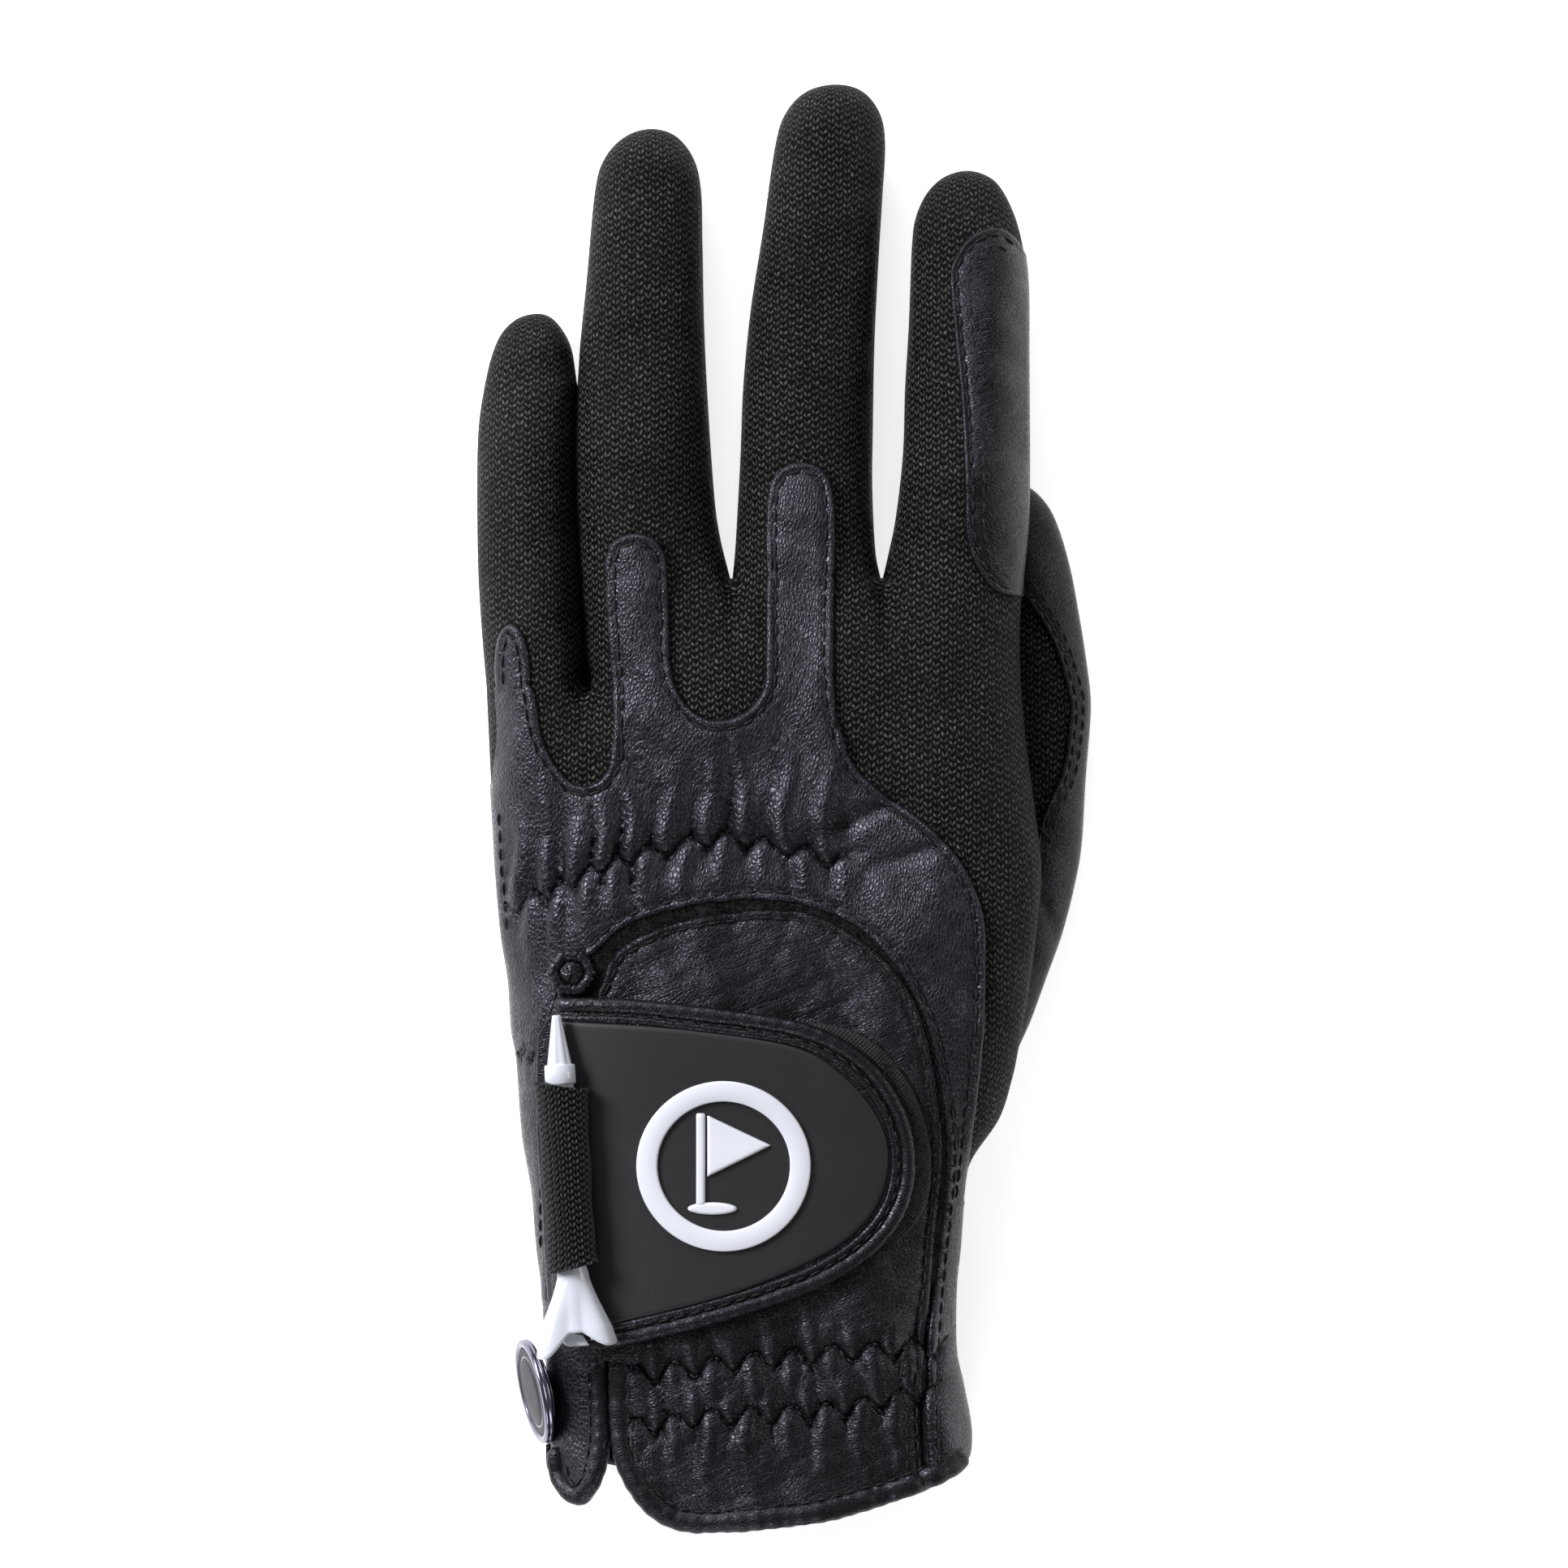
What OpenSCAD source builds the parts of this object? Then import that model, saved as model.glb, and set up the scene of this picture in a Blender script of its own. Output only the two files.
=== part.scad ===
// Left-hand golf glove lying palm down: fingers along +Y, back of the hand up (+Z), thumb towards +X.
// The skin is a set of thin shells around an open cavity; overlays follow the skin at a small offset.

/* [Skin] */
// Thickness of the leather and mesh shells
skin = 1.2; // [0.8:0.1:1.4]
// Gap between layers that lie on each other
gap = 0.3; // [0.2:0.05:0.4]
// Thickness of the leather overlays
overlay = 0.9; // [0.6:0.1:1.0]

/* [Hand] */
// Height of the back of the hand over the knuckles
crown = 26; // [25:0.25:27]
// Height that the palm leaves free for the thumb under its right edge
thumb_room = 13; // [13:0.25:14]
// Squareness of the hand's cross-section (1 is an ellipse)
bulge = 0.77; // [0.72:0.01:0.85]

/* [Fingers] */
// Thickness of the finger walls
finger_skin = 1.2; // [0.8:0.1:1.4]

/* [Tee] */
// Radius of the tee's shaft
tee_r = 2.75; // [2.5:0.05:2.8]
// Radius of the tee's flared head
tee_head_r = 6.9; // [6:0.1:6.9]
// Length of the tee
tee_length = 59; // [56:0.5:60]
// Wall thickness of the knitted sleeve round the tee
sleeve_wall = 1.15; // [0.8:0.05:1.2]

/* [Ball marker] */
// Radius of the ball marker's disc
marker_r = 9.35; // [8.5:0.05:9.5]
// Thickness of the ball marker's disc
marker_t = 1.8; // [1.4:0.1:2]

/* [Closure tab] */
// Radius of the rolled binding round the closure tab
binding_r = 1.45; // [1.2:0.05:1.5]
// Outer radius of the emblem's ring
emblem_r = 15; // [13:0.5:15]
// Width of the emblem's ring
emblem_w = 3.6; // [2.5:0.1:4]

/* [Hidden] */
$fn = 48;

mesh_black = [0.13, 0.13, 0.12];
leather_black = [0.2, 0.2, 0.21];
rubber_grey = [0.24, 0.24, 0.25];
white = [0.93, 0.93, 0.95];

// Outline of the hand, as [y, x] of its left and right edges
left_edge = [[-128, -40.5], [-118, -41], [-100, -41.2], [-94, -42.4], [-77, -43.7], [-58, -46.1],
             [-40, -48], [-23, -49.9], [-4, -51.3], [20, -52.6], [60, -52.6]];
right_edge = [[-128, 31], [-111, 33], [-98, 30.6], [-85, 30.6], [-70, 31.7], [-55, 38], [-45, 40.8],
              [-30, 43.4], [-12, 45.2], [13, 42.6], [60, 42.8]];
// Height of the side seam on the right, as [y, z]: it rises over the thumb
right_seam = [[-60, 9.5], [-34, 18], [60, 18]];
left_seam_z = 9;
// Height of the back along the hand, as [y, share of the crown]
crown_line = [[-128, 0.7], [-95, 0.76], [-60, 0.88], [-25, 1], [20, 1], [40, 0.92]];

// Where each group of panels ends along Y
wrist_y = -120;
cuff_y = -94.6;
arch_y = -15.8;
little_root_y = 21.4;
root_y = 39.4;
// Angle round the hand's section at which the little finger's root ends and the ring finger's starts
root_split = 122.5;

// Fingers: shaft stations as [y, centre x, half width], then heights as [y, centre z, half height]
index_line = [[40, 30.3, 12], [50, 31, 11.6], [62, 32, 11.1], [77, 32.2, 10.8], [92, 32.6, 10.3], [99, 32.4, 9.7]];
index_rise = [[40, 16.4, 8.6], [56, 16.2, 8.4], [80, 12, 8.3], [99, 9, 8.2]];
middle_line = [[40, 4.2, 12.5], [50, 3.7, 12], [66, 4.1, 11.6], [82, 4.7, 11.3], [96, 6, 10.7], [113, 7.8, 9.9]];
middle_rise = [[40, 11.2, 11.2], [113, 8.4, 8.4]];
ring_line = [[40, -21.9, 12.3], [50, -24.2, 12.3], [67, -25, 11.6], [82, -25.2, 11.1], [93, -24.6, 10.3],
             [106, -24.1, 9.6]];
ring_rise = [[40, 11, 11], [106, 8.2, 8.2]];
little_line = [[22, -44, 8.9], [30, -44.5, 8.9], [40, -45.1, 8.9], [50, -45.8, 8.5], [67, -45.6, 8.3],
               [76, -45, 7.5]];
little_rise = [[22, 9.5, 9.5], [76, 7.6, 7.6]];
thumb_line = [[-35.2, 38.2, 7], [-22, 41, 8.2], [-7, 43.8, 8.5], [10, 45.1, 8.6], [18, 45.7, 8.6],
              [30, 44.3, 8.2], [44, 43, 7.4]];
thumb_rise = [[-35, 6, 6], [18, 6, 6], [44, 4.8, 4.8]];

// Angles round a finger that part its back, its side walls and its palm
wall_angle = 25;

// Tee axis: its tip, its tilt across the glove and its height
tee_tip = [-39.6, -36.5, 27.7];
tee_tilt = 3.68;

// Offsets above the skin of the layers at the closure
tab_low = 2.6;
tab_mid = [-5, -64];
tab_outline = [[-24, -33.9], [-16.6, -34.7], [-6.6, -35.9], [2, -37.3], [9.1, -39.7], [14.9, -43.6],
               [19.1, -49], [21.7, -55.4], [22.4, -62.6], [21.3, -69], [18.4, -74.7], [13.4, -79.7],
               [6.3, -84], [-2.3, -87.3], [-12.3, -90.4], [-22, -92.9]];
emblem_mid = [-10.4, -62.6];

function mix(a, b, t) = a + (b - a) * t;
function clamp01(t) = max(0, min(1, t));
function smooth(t) = let (u = clamp01(t)) u * u * (3 - 2 * u);
function bulged(v) = sign(v) * pow(abs(v), bulge);
function column(table, c) = [for (row = table) [row[0], row[c]]];

function hand_mid(y) = (lookup(y, left_edge) + lookup(y, right_edge)) / 2;
function hand_half(y) = (lookup(y, right_edge) - lookup(y, left_edge)) / 2;
function seam_z(y, side) = mix(left_seam_z, lookup(y, right_seam), (side + 1) / 2);
function crown_z(y) = crown * lookup(y, crown_line);
function floor_z(x, y) = thumb_room * smooth((x - 17) / 13) * smooth((y + 45) / 9);

// A point of the back at an angle round the section (180 is the left seam, 0 the right) and an offset d
function back_point(phi, y, d) =
    let (side = bulged(cos(phi)), seam = seam_z(y, side))
    [hand_mid(y) + (hand_half(y) + d) * side, y, seam + (crown_z(y) - seam + d) * pow(abs(sin(phi)), bulge)];

// The same for the palm, whose middle is a flat plane on the surface that the glove lies on
function palm_point(phi, y, d) =
    let (side = bulged(cos(phi)), seam = seam_z(y, side), x = hand_mid(y) + (hand_half(y) + d) * side,
         drop = min(1, 1.35 * pow(abs(sin(phi)), bulge)))
    [x, y, seam - (seam - floor_z(x, y) + d) * drop];

// A point over the back at a place in the plan
function over_back(x, y, d) =
    let (side = (x - hand_mid(y)) / (hand_half(y) + d), q = min(0.999, abs(side)), c = pow(q, 1 / bulge),
         seam = seam_z(y, sign(side) * q))
    [x, y, seam + (crown_z(y) - seam + d) * pow(sqrt(1 - c * c), bulge)];

// A closed slab between an upper and a lower grid of points. Rows run along the glove and columns run
// clockwise round it, and wrap joins the last row to the first.
module slab(upper, lower, wrap = false) {
    n = len(upper);
    m = len(upper[0]);
    last = wrap ? n - 1 : n - 2;
    low = n * m;
    points = concat([for (row = upper) each row], [for (row = lower) each row]);
    faces = concat(
        [for (i = [0:last], j = [0:m - 2])
            let (a = i * m + j, d = (i + 1) % n * m + j)
            each [[a, d, d + 1], [a, d + 1, a + 1], [low + a, low + a + 1, low + d + 1],
                  [low + a, low + d + 1, low + d]]],
        [for (i = [0:last])
            let (a = i * m, d = (i + 1) % n * m, b = a + m - 1, c = d + m - 1)
            each [[d, a, low + a], [d, low + a, low + d], [b, c, low + c], [b, low + c, low + b]]],
        wrap ? [] : [for (j = [0:m - 2])
            let (a = j, d = (n - 1) * m + j)
            each [[a, a + 1, low + a + 1], [a, low + a + 1, low + a],
                  [d + 1, d, low + d], [d + 1, low + d, low + d + 1]]]);
    polyhedron(points, faces);
}

// A slab made from a function of the row (0 to 1), an entry of the column list and an offset
module sheet(place, rows, columns, high, low) {
    slab([for (i = [0:rows]) [for (c = columns) place(i / rows, c, high)]],
         [for (i = [0:rows]) [for (c = columns) place(i / rows, c, low)]]);
}

// A round bead along a path
module bead(path, r, sides = 8) {
    last = len(path) - 1;
    points = [for (i = [0:last])
        let (ahead = path[min(i + 1, last)] - path[max(i - 1, 0)], t = ahead / norm(ahead),
             across = cross(t, [0, 0, 1]), s = across / norm(across), up = cross(s, t))
        each [for (k = [0:sides - 1]) path[i] + r * (cos(360 * k / sides) * s + sin(360 * k / sides) * up)]];
    faces = concat(
        [for (i = [0:last - 1], k = [0:sides - 1])
            let (a = i * sides + k, b = i * sides + (k + 1) % sides)
            each [[a, b, b + sides], [a, b + sides, a + sides]]],
        [[for (k = [sides - 1:-1:0]) k]],
        [[for (k = [0:sides - 1]) last * sides + k]]);
    polyhedron(points, faces);
}

// The angles of a half section, with the step between the little finger and the others marked
back_angles = [180, 172, 162, 150, 140, 130, root_split + 0.1, root_split - 0.1, 115, 107, 98, 90, 82, 73, 64,
               55, 46, 37, 28, 18, 9, 0];
palm_angles = [for (a = [len(back_angles) - 1:-1:0]) -back_angles[a]];
function finger_root(phi) = abs(phi) > root_split ? little_root_y : root_y;

module back_panel(low_y, high_y, angles, rows) {
    sheet(function(u, phi, d) back_point(phi, mix(low_y(phi), high_y(phi), u), d), rows, angles, 0, -skin);
}

module palm_leather() {
    color(leather_black)
        sheet(function(u, phi, d) palm_point(phi, mix(wrist_y, finger_root(phi), u), d), 24, palm_angles, 0, -skin);
}

module back_mesh() {
    color(mesh_black)
        back_panel(function(phi) arch_y, function(phi) finger_root(phi), back_angles, 8);
}

module landing_panel() {
    color(leather_black)
        back_panel(function(phi) cuff_y, function(phi) arch_y - 0.2, back_angles, 10);
}

// The knuckle patch: its upper and lower edges as [x, y]. Its tabs stop at the finger roots.
patch_top = [[-50.2, 13], [-49.8, 21], [-44.6, 21], [-43.3, 18.9], [-42, 11.7], [-39.4, 6.7], [-36.6, 3.9],
             [-33.7, 3.6], [-30.9, 6], [-30.3, 10], [-29.9, 39.2], [-20.3, 39.2], [-19.7, 24.6], [-18.3, 19.6],
             [-15.1, 16], [-11.6, 14.9], [-7.3, 16], [-4.4, 18.9], [-3.4, 22.4], [-3.2, 39.2], [8.9, 39.2],
             [9.1, 20.3], [9.9, 13.1], [12, 7.4], [17, 2.4], [23.4, -1.9], [29.1, -7.6], [32.7, -13.3],
             [34.6, -18.3], [35.1, -24]];
patch_low = [[-50.2, -14], [-47, -33], [-33, -33], [-32.3, -24.7], [-28, -20.4], [-20.9, -17.6], [-12.3, -16],
             [-3.7, -15.4], [4.9, -16.6], [13.4, -20.4], [20.6, -27.6], [25.6, -37.6], [28.1, -48.3],
             [29.1, -58.3], [29.6, -90], [30.4, -78], [31.6, -66], [34.6, -45], [35.1, -40]];
patch_columns = [-50.2, -49.8, -47, -44.6, -43.3, -42, -39.4, -36.6, -33.7, -32.3, -30.9, -30.3, -29.9, -28, -24,
                 -20.3, -19.7, -18.3, -15.1, -11.6, -7.3, -4.4, -3.4, -3.2, 1, 4.9, 8.9, 9.1, 9.9, 12, 17, 20.6,
                 23.4, 25.6, 28.1, 29.1, 29.6, 30.4, 31.6, 32.7, 34.6, 35.1];

module knuckle_patch() {
    color(leather_black)
        sheet(function(u, x, d) over_back(x, mix(lookup(x, patch_low), lookup(x, patch_top), u), d), 10,
              patch_columns, gap + overlay, gap);
}

// An elastic strip sewn inside the back
module inner_elastic(low_y, high_y, from, to) {
    color("black")
        sheet(function(u, phi, d) back_point(phi, mix(low_y, high_y, u), d), 2, [for (a = [from:-9:to]) a],
              -skin - gap, -skin - gap - 0.8);
}

module knuckle_elastic() { inner_elastic(-10.5, -4.5, 151, 25); }
module cuff_elastic_upper() { inner_elastic(-93.6, -87.6, 119, 20); }
module cuff_elastic_lower() { inner_elastic(-108, -102, 119, 20); }

// The soft half of the closure's hook-and-loop, on the landing panel
module loop_patch() {
    color("black")
        sheet(function(u, x, d) over_back(x, mix(-78, -36, u), d), 8, [for (x = [-6:3:21]) x], gap + 0.7, gap);
}

module vent_knot() {
    knot = over_back(-36.6, -29, gap + overlay + 0.95);
    color(leather_black)
        translate(knot + [0, 0, 1.3])
            rotate_extrude()
                translate([2.7, 0])
                    circle(r = 1.3);
}

// x of the line about which the closure tab turns
function tab_hinge_x(y) = -31.5 + (-35 - y) * tan(tee_tilt);

module tab_root() {
    thick = [[-93, 0.9], [-82, 0.9], [-79, 3], [-49, 3], [-46, 0.9], [-35, 0.9]];
    color(leather_black)
        slab([for (i = [0:20]) let (y = mix(-93, -35, i / 20))
                 [for (k = [0:4]) over_back(mix(-42.3, tab_hinge_x(y) - 0.8, k / 4), y, gap + lookup(y, thick))]],
             [for (i = [0:20]) let (y = mix(-93, -35, i / 20))
                 [for (k = [0:4]) over_back(mix(-42.3, tab_hinge_x(y) - 0.8, k / 4), y, gap)]]);
}

// Places its children on the tee's axis, tip at the origin and +Z towards the head
module on_tee_axis() {
    translate(tee_tip)
        rotate([90, 0, tee_tilt])
            children();
}

module tee_sleeve() {
    color("black")
        on_tee_axis()
            translate([0, 0, 12])
                difference() {
                    cylinder(r = tee_r + 0.15 + sleeve_wall, h = 32);
                    translate([0, 0, -1])
                        cylinder(r = tee_r + 0.15, h = 34);
                }
}

module tee() {
    color(white)
        on_tee_axis()
            difference() {
                rotate_extrude()
                    polygon([[0, 0], [0.8, 0], [2.2, 8.6], [tee_r - 0.1, 8.6], [tee_r - 0.1, 12], [2.4, 12.6],
                             [2.4, 40], [tee_r, 44], [3.4, 48], [4.6, 51.5], [tee_head_r, tee_length - 1.5],
                             [tee_head_r - 0.4, tee_length], [0, tee_length]]);
                // Cup for the ball and the three gaps between the prongs
                translate([0, 0, tee_length + 6.5])
                    sphere(r = 8.6);
                for (a = [0:120:240])
                    rotate([0, 0, a + 90])
                        translate([tee_head_r + 2.2, 0, tee_length - 5])
                            cylinder(r = 3.6, h = 8);
            }
}

// Lower edges of the main cuff and of the cuff lobe, as [x, y]
cuff_edge = [[-30.6, -108], [-29.4, -114], [-27.3, -119], [-23.7, -123.6], [-19.4, -125.8], [-15, -126.2],
             [7.7, -124], [19, -120.9], [26.3, -118.3], [31.3, -115.6], [33, -110.5]];
lobe_edge = [[-42, -111], [-41, -117], [-38, -121], [-35.6, -121.6], [-32.6, -118.5], [-31.6, -112]];
cuff_angles = [117.5, 112, 104, 96, 88, 80, 70, 60, 50, 40, 30, 20, 10, 0];
lobe_angles = [180, 170, 160, 150, 142, 134, 127, 120.5];
function cuff_x(phi) = back_point(phi, -108, 0)[0];

module cuff_panel() {
    color(leather_black)
        back_panel(function(phi) lookup(cuff_x(phi), cuff_edge), function(phi) cuff_y - 0.2, cuff_angles, 8);
}

module cuff_lobe() {
    color(leather_black)
        back_panel(function(phi) lookup(cuff_x(phi), lobe_edge), function(phi) cuff_y - 1.5, lobe_angles, 8);
}

module cuff_binding() {
    path = [for (phi = cuff_angles) if (phi > 12)
        let (x = cuff_x(phi)) over_back(x, lookup(x, cuff_edge) + 1.2, gap + 1.4)];
    color(leather_black) bead(path, 1.3);
}

module lobe_binding() {
    path = [for (y = [-97:-3:-115]) over_back(-33.4, y, gap + 1.3)];
    color(leather_black) bead(path, 1.1);
}

// The side wall between the little finger's root and the ring finger's
module little_ring_web() {
    color(mesh_black)
        translate([-33.2, (little_root_y + root_y) / 2, 0])
            rotate([90, 0, 0])
                linear_extrude(height = root_y - little_root_y - 1, center = true)
                    polygon([[-0.9, 1.6], [0, 1.6], [0.5, 6], [0.5, 15], [0, 20.6], [-0.9, 20.6], [-0.4, 15],
                             [-0.4, 6]]);
}

// A finger's section at a station, or round its rounded tip, as [y, centre x, centre z, half width, half height]
function finger_station(line, rise, y) =
    [y, lookup(y, column(line, 1)), lookup(y, column(rise, 1)), lookup(y, column(line, 2)),
     lookup(y, column(rise, 2))];
function finger_stations(line, rise, tip_length, tip_shift, wall, rows) =
    let (first = line[0][0], end = line[len(line) - 1][0], s = finger_station(line, rise, end))
    concat(
        [for (i = [0:rows - 1]) let (p = finger_station(line, rise, mix(first, end, i / rows)))
            [p[0], p[1], p[2], p[3] - wall, p[4] - wall]],
        [for (a = [0, 20, 38, 54, 68, 79, 85])
            [end + (tip_length - wall) * sin(a), s[1] + tip_shift * sin(a), s[2], (s[3] - wall) * cos(a),
             (s[4] - wall) * cos(a)]]);
function finger_grid(line, rise, tip_length, tip_shift, wall, rows, angles) =
    [for (s = finger_stations(line, rise, tip_length, tip_shift, wall, rows))
        [for (a = angles) [s[1] + s[3] * cos(a), s[0], s[2] + s[4] * sin(a)]]];
function angle_list(from, to, n) = [for (i = [0:n]) mix(from, to, i / n)];

// One wall of a finger, between two angles round it
module finger_wall(f, from, to, n) {
    slab(finger_grid(f[0], f[1], f[2], f[3], 0, 6, angle_list(from, to, n)),
         finger_grid(f[0], f[1], f[2], f[3], finger_skin, 6, angle_list(from, to, n)));
}

// Each finger as [line, rise, length of its rounded tip, sideways shift of the tip]
index_f = [index_line, index_rise, 13.1, 1];
middle_f = [middle_line, middle_rise, 14.4, 2];
ring_f = [ring_line, ring_rise, 13.6, 0.8];
little_f = [little_line, little_rise, 11, 2];
thumb_f = [thumb_line, thumb_rise, 12.6, 0.7];

// A point over a finger at an angle round it and an offset
function over_finger(f, phi, y, d) =
    let (s = finger_station(f[0], f[1], y)) [s[1] + (s[3] + d) * cos(phi), y, s[2] + (s[4] + d) * sin(phi)];

// A leather overlay on a finger from its root, with a round end
module finger_overlay(f, low_y, high_y, angles, round) {
    middle = (angles[0] + angles[len(angles) - 1]) / 2;
    reach = abs(angles[0] - middle);
    color(leather_black)
        sheet(function(u, phi, d) over_finger(f, phi,
                  mix(low_y, high_y - round * (1 - sqrt(1 - pow(clamp01(abs(phi - middle) / reach), 2) * 0.99)), u), d),
              5, angles, gap + overlay - 0.1, gap);
}

module index_back() { color(mesh_black) finger_wall(index_f, 180 - wall_angle, wall_angle, 8); }
module index_palm() { color(leather_black) finger_wall(index_f, wall_angle, wall_angle - 180, 12); }
module index_fourchette() { color(mesh_black) finger_wall(index_f, 180 + wall_angle, 180 - wall_angle, 4); }
module index_patch() {
    finger_overlay(index_f, 40.3, 98.5, [95, 86, 76, 65, 54, 43, 32, 20, 8], 5);
}

module middle_back() { color(mesh_black) finger_wall(middle_f, 180 - wall_angle, wall_angle, 8); }
module middle_palm() { color(leather_black) finger_wall(middle_f, -wall_angle, wall_angle - 180, 8); }
module middle_fourchettes() {
    color(mesh_black) {
        finger_wall(middle_f, wall_angle, -wall_angle, 4);
        finger_wall(middle_f, 180 + wall_angle, 180 - wall_angle, 4);
    }
}
module middle_tab() { finger_overlay(middle_f, 40.3, 59.9, [124, 116, 108, 99, 91, 83, 75, 67], 7); }

module ring_back() { color(mesh_black) finger_wall(ring_f, 180 - wall_angle, wall_angle, 8); }
module ring_palm() { color(leather_black) finger_wall(ring_f, -wall_angle, wall_angle - 180, 8); }
module ring_fourchettes() {
    color(mesh_black) {
        finger_wall(ring_f, wall_angle, -wall_angle, 4);
        finger_wall(ring_f, 180 + wall_angle, 180 - wall_angle, 4);
    }
}
module ring_tab() { finger_overlay(ring_f, 40.3, 47.4, [125, 117, 109, 102, 95, 88, 81], 5); }

module little_back() { color(mesh_black) finger_wall(little_f, 180 - wall_angle, wall_angle, 8); }
module little_palm() { color(leather_black) finger_wall(little_f, -wall_angle, -180 - wall_angle, 12); }
module little_fourchette() { color(mesh_black) finger_wall(little_f, wall_angle, -wall_angle, 4); }
module little_tab() { finger_overlay(little_f, 22.3, 31.6, [135, 127, 119, 111, 103, 95], 3.5); }

module thumb_leather() { color(leather_black) finger_wall(thumb_f, wall_angle, -180, 12); }
module thumb_mesh() { color(mesh_black) finger_wall(thumb_f, 180, wall_angle, 9); }

// The tab's outline drawn in by a margin, and its part of the back between two offsets
function tab_rim(margin) = [for (p = tab_outline) tab_mid + (p - tab_mid) * (1 - margin / 24)];
function tab_grid(margin, start, d) =
    let (rim = tab_rim(margin))
    [for (i = [len(rim) - 1:-1:0])
        let (from = max(start, tab_hinge_x(rim[i][1]) + 0.6))
        [for (k = [0:7]) over_back(mix(from, rim[i][0], k / 7), rim[i][1], d)]];

module tab_backing() {
    color("black") slab(tab_grid(3.3, -99, tab_low + 0.9), tab_grid(3.3, -99, tab_low));
}

module tab_panel() {
    color(rubber_grey) slab(tab_grid(4.2, -28, tab_low + 2.1), tab_grid(4.2, -28, tab_low + 1.2));
}

module tab_binding() {
    path = [for (p = tab_rim(binding_r)) over_back(p[0], p[1], tab_low + 1.2)];
    color(leather_black) bead(path, binding_r - 0.1);
}

module hook_pad() {
    rim = tab_rim(6.5);
    color("black")
        slab([for (i = [12:-1:4]) [for (k = [0:4]) over_back(mix(-4, rim[i][0], k / 4), rim[i][1], tab_low - 0.2)]],
             [for (i = [12:-1:4]) [for (k = [0:4]) over_back(mix(-4, rim[i][0], k / 4), rim[i][1], gap + 1.2)]]);
}

// The emblem: a ring with a flagstick and a pennant inside it
module tab_emblem() {
    high = tab_low + 3.1;
    low = tab_low + 2.3;
    rings = [emblem_r - emblem_w, emblem_r - emblem_w / 2, emblem_r];
    color(white) {
        slab([for (a = [0:12:348]) [for (r = rings)
                 over_back(emblem_mid[0] + r * cos(a), emblem_mid[1] + r * sin(a), high)]],
             [for (a = [0:12:348]) [for (r = rings)
                 over_back(emblem_mid[0] + r * cos(a), emblem_mid[1] + r * sin(a), low)]], wrap = true);
        slab([for (y = [-8, -3, 2, 8]) [for (x = [-3.6, -2.2]) over_back(emblem_mid[0] + x, emblem_mid[1] + y, high)]],
             [for (y = [-8, -3, 2, 8]) [for (x = [-3.6, -2.2]) over_back(emblem_mid[0] + x, emblem_mid[1] + y, low)]]);
        slab([for (u = [0, 0.5, 0.95]) [for (x = [-1.9, 2, 6]) over_back(emblem_mid[0] + x,
                 emblem_mid[1] + mix(1 + (x + 1.9) * 0.42, 8 - (x + 1.9) * 0.42, u), high)]],
             [for (u = [0, 0.5, 0.95]) [for (x = [-1.9, 2, 6]) over_back(emblem_mid[0] + x,
                 emblem_mid[1] + mix(1 + (x + 1.9) * 0.42, 8 - (x + 1.9) * 0.42, u), low)]]);
    }
}

// Places its children on the ball marker's axis, which points out of the left side of the cuff
marker_mid = [-43.9, -103.4, 11.5];
marker_turn = -168;
marker_lean = 75;
module on_marker_axis() {
    translate(marker_mid)
        rotate([0, 0, marker_turn])
            rotate([0, marker_lean, 0])
                children();
}

module marker_rim() {
    color("silver")
        on_marker_axis()
            rotate_extrude()
                polygon([[0, -marker_t / 2], [marker_r - 0.5, -marker_t / 2], [marker_r, -marker_t / 2 + 0.5],
                         [marker_r, marker_t / 2 - 0.4], [marker_r - 0.4, marker_t / 2], [marker_r - 1.4, marker_t / 2],
                         [marker_r - 1.4, marker_t / 2 - 0.6], [0, marker_t / 2 - 0.6]]);
}

module marker_face() {
    color([0.12, 0.11, 0.14])
        on_marker_axis()
            translate([0, 0, marker_t / 2 - 0.55])
                cylinder(r = marker_r - 1.45, h = 0.45);
}

module marker_base() {
    color("silver")
        on_marker_axis()
            translate([0, 0, -marker_t / 2 - 0.9])
                cylinder(r = marker_r - 2.8, h = 0.55);
}

palm_leather();
back_mesh();
knuckle_patch();
knuckle_elastic();
landing_panel();
loop_patch();
vent_knot();
tab_root();
tee_sleeve();
cuff_panel();
cuff_lobe();
cuff_binding();
lobe_binding();
cuff_elastic_upper();
cuff_elastic_lower();
marker_base();
little_ring_web();
index_back();
index_palm();
index_fourchette();
index_patch();
middle_back();
middle_palm();
middle_fourchettes();
middle_tab();
ring_back();
ring_palm();
ring_fourchettes();
ring_tab();
little_back();
little_palm();
little_fourchette();
little_tab();
thumb_leather();
thumb_mesh();
tab_backing();
tab_panel();
tab_binding();
tab_emblem();
hook_pad();
tee();
marker_face();
marker_rim();
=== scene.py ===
import math

import bpy
import numpy as np
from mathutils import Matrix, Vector
from mathutils.geometry import delaunay_2d_cdt
from mathutils.kdtree import KDTree


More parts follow.
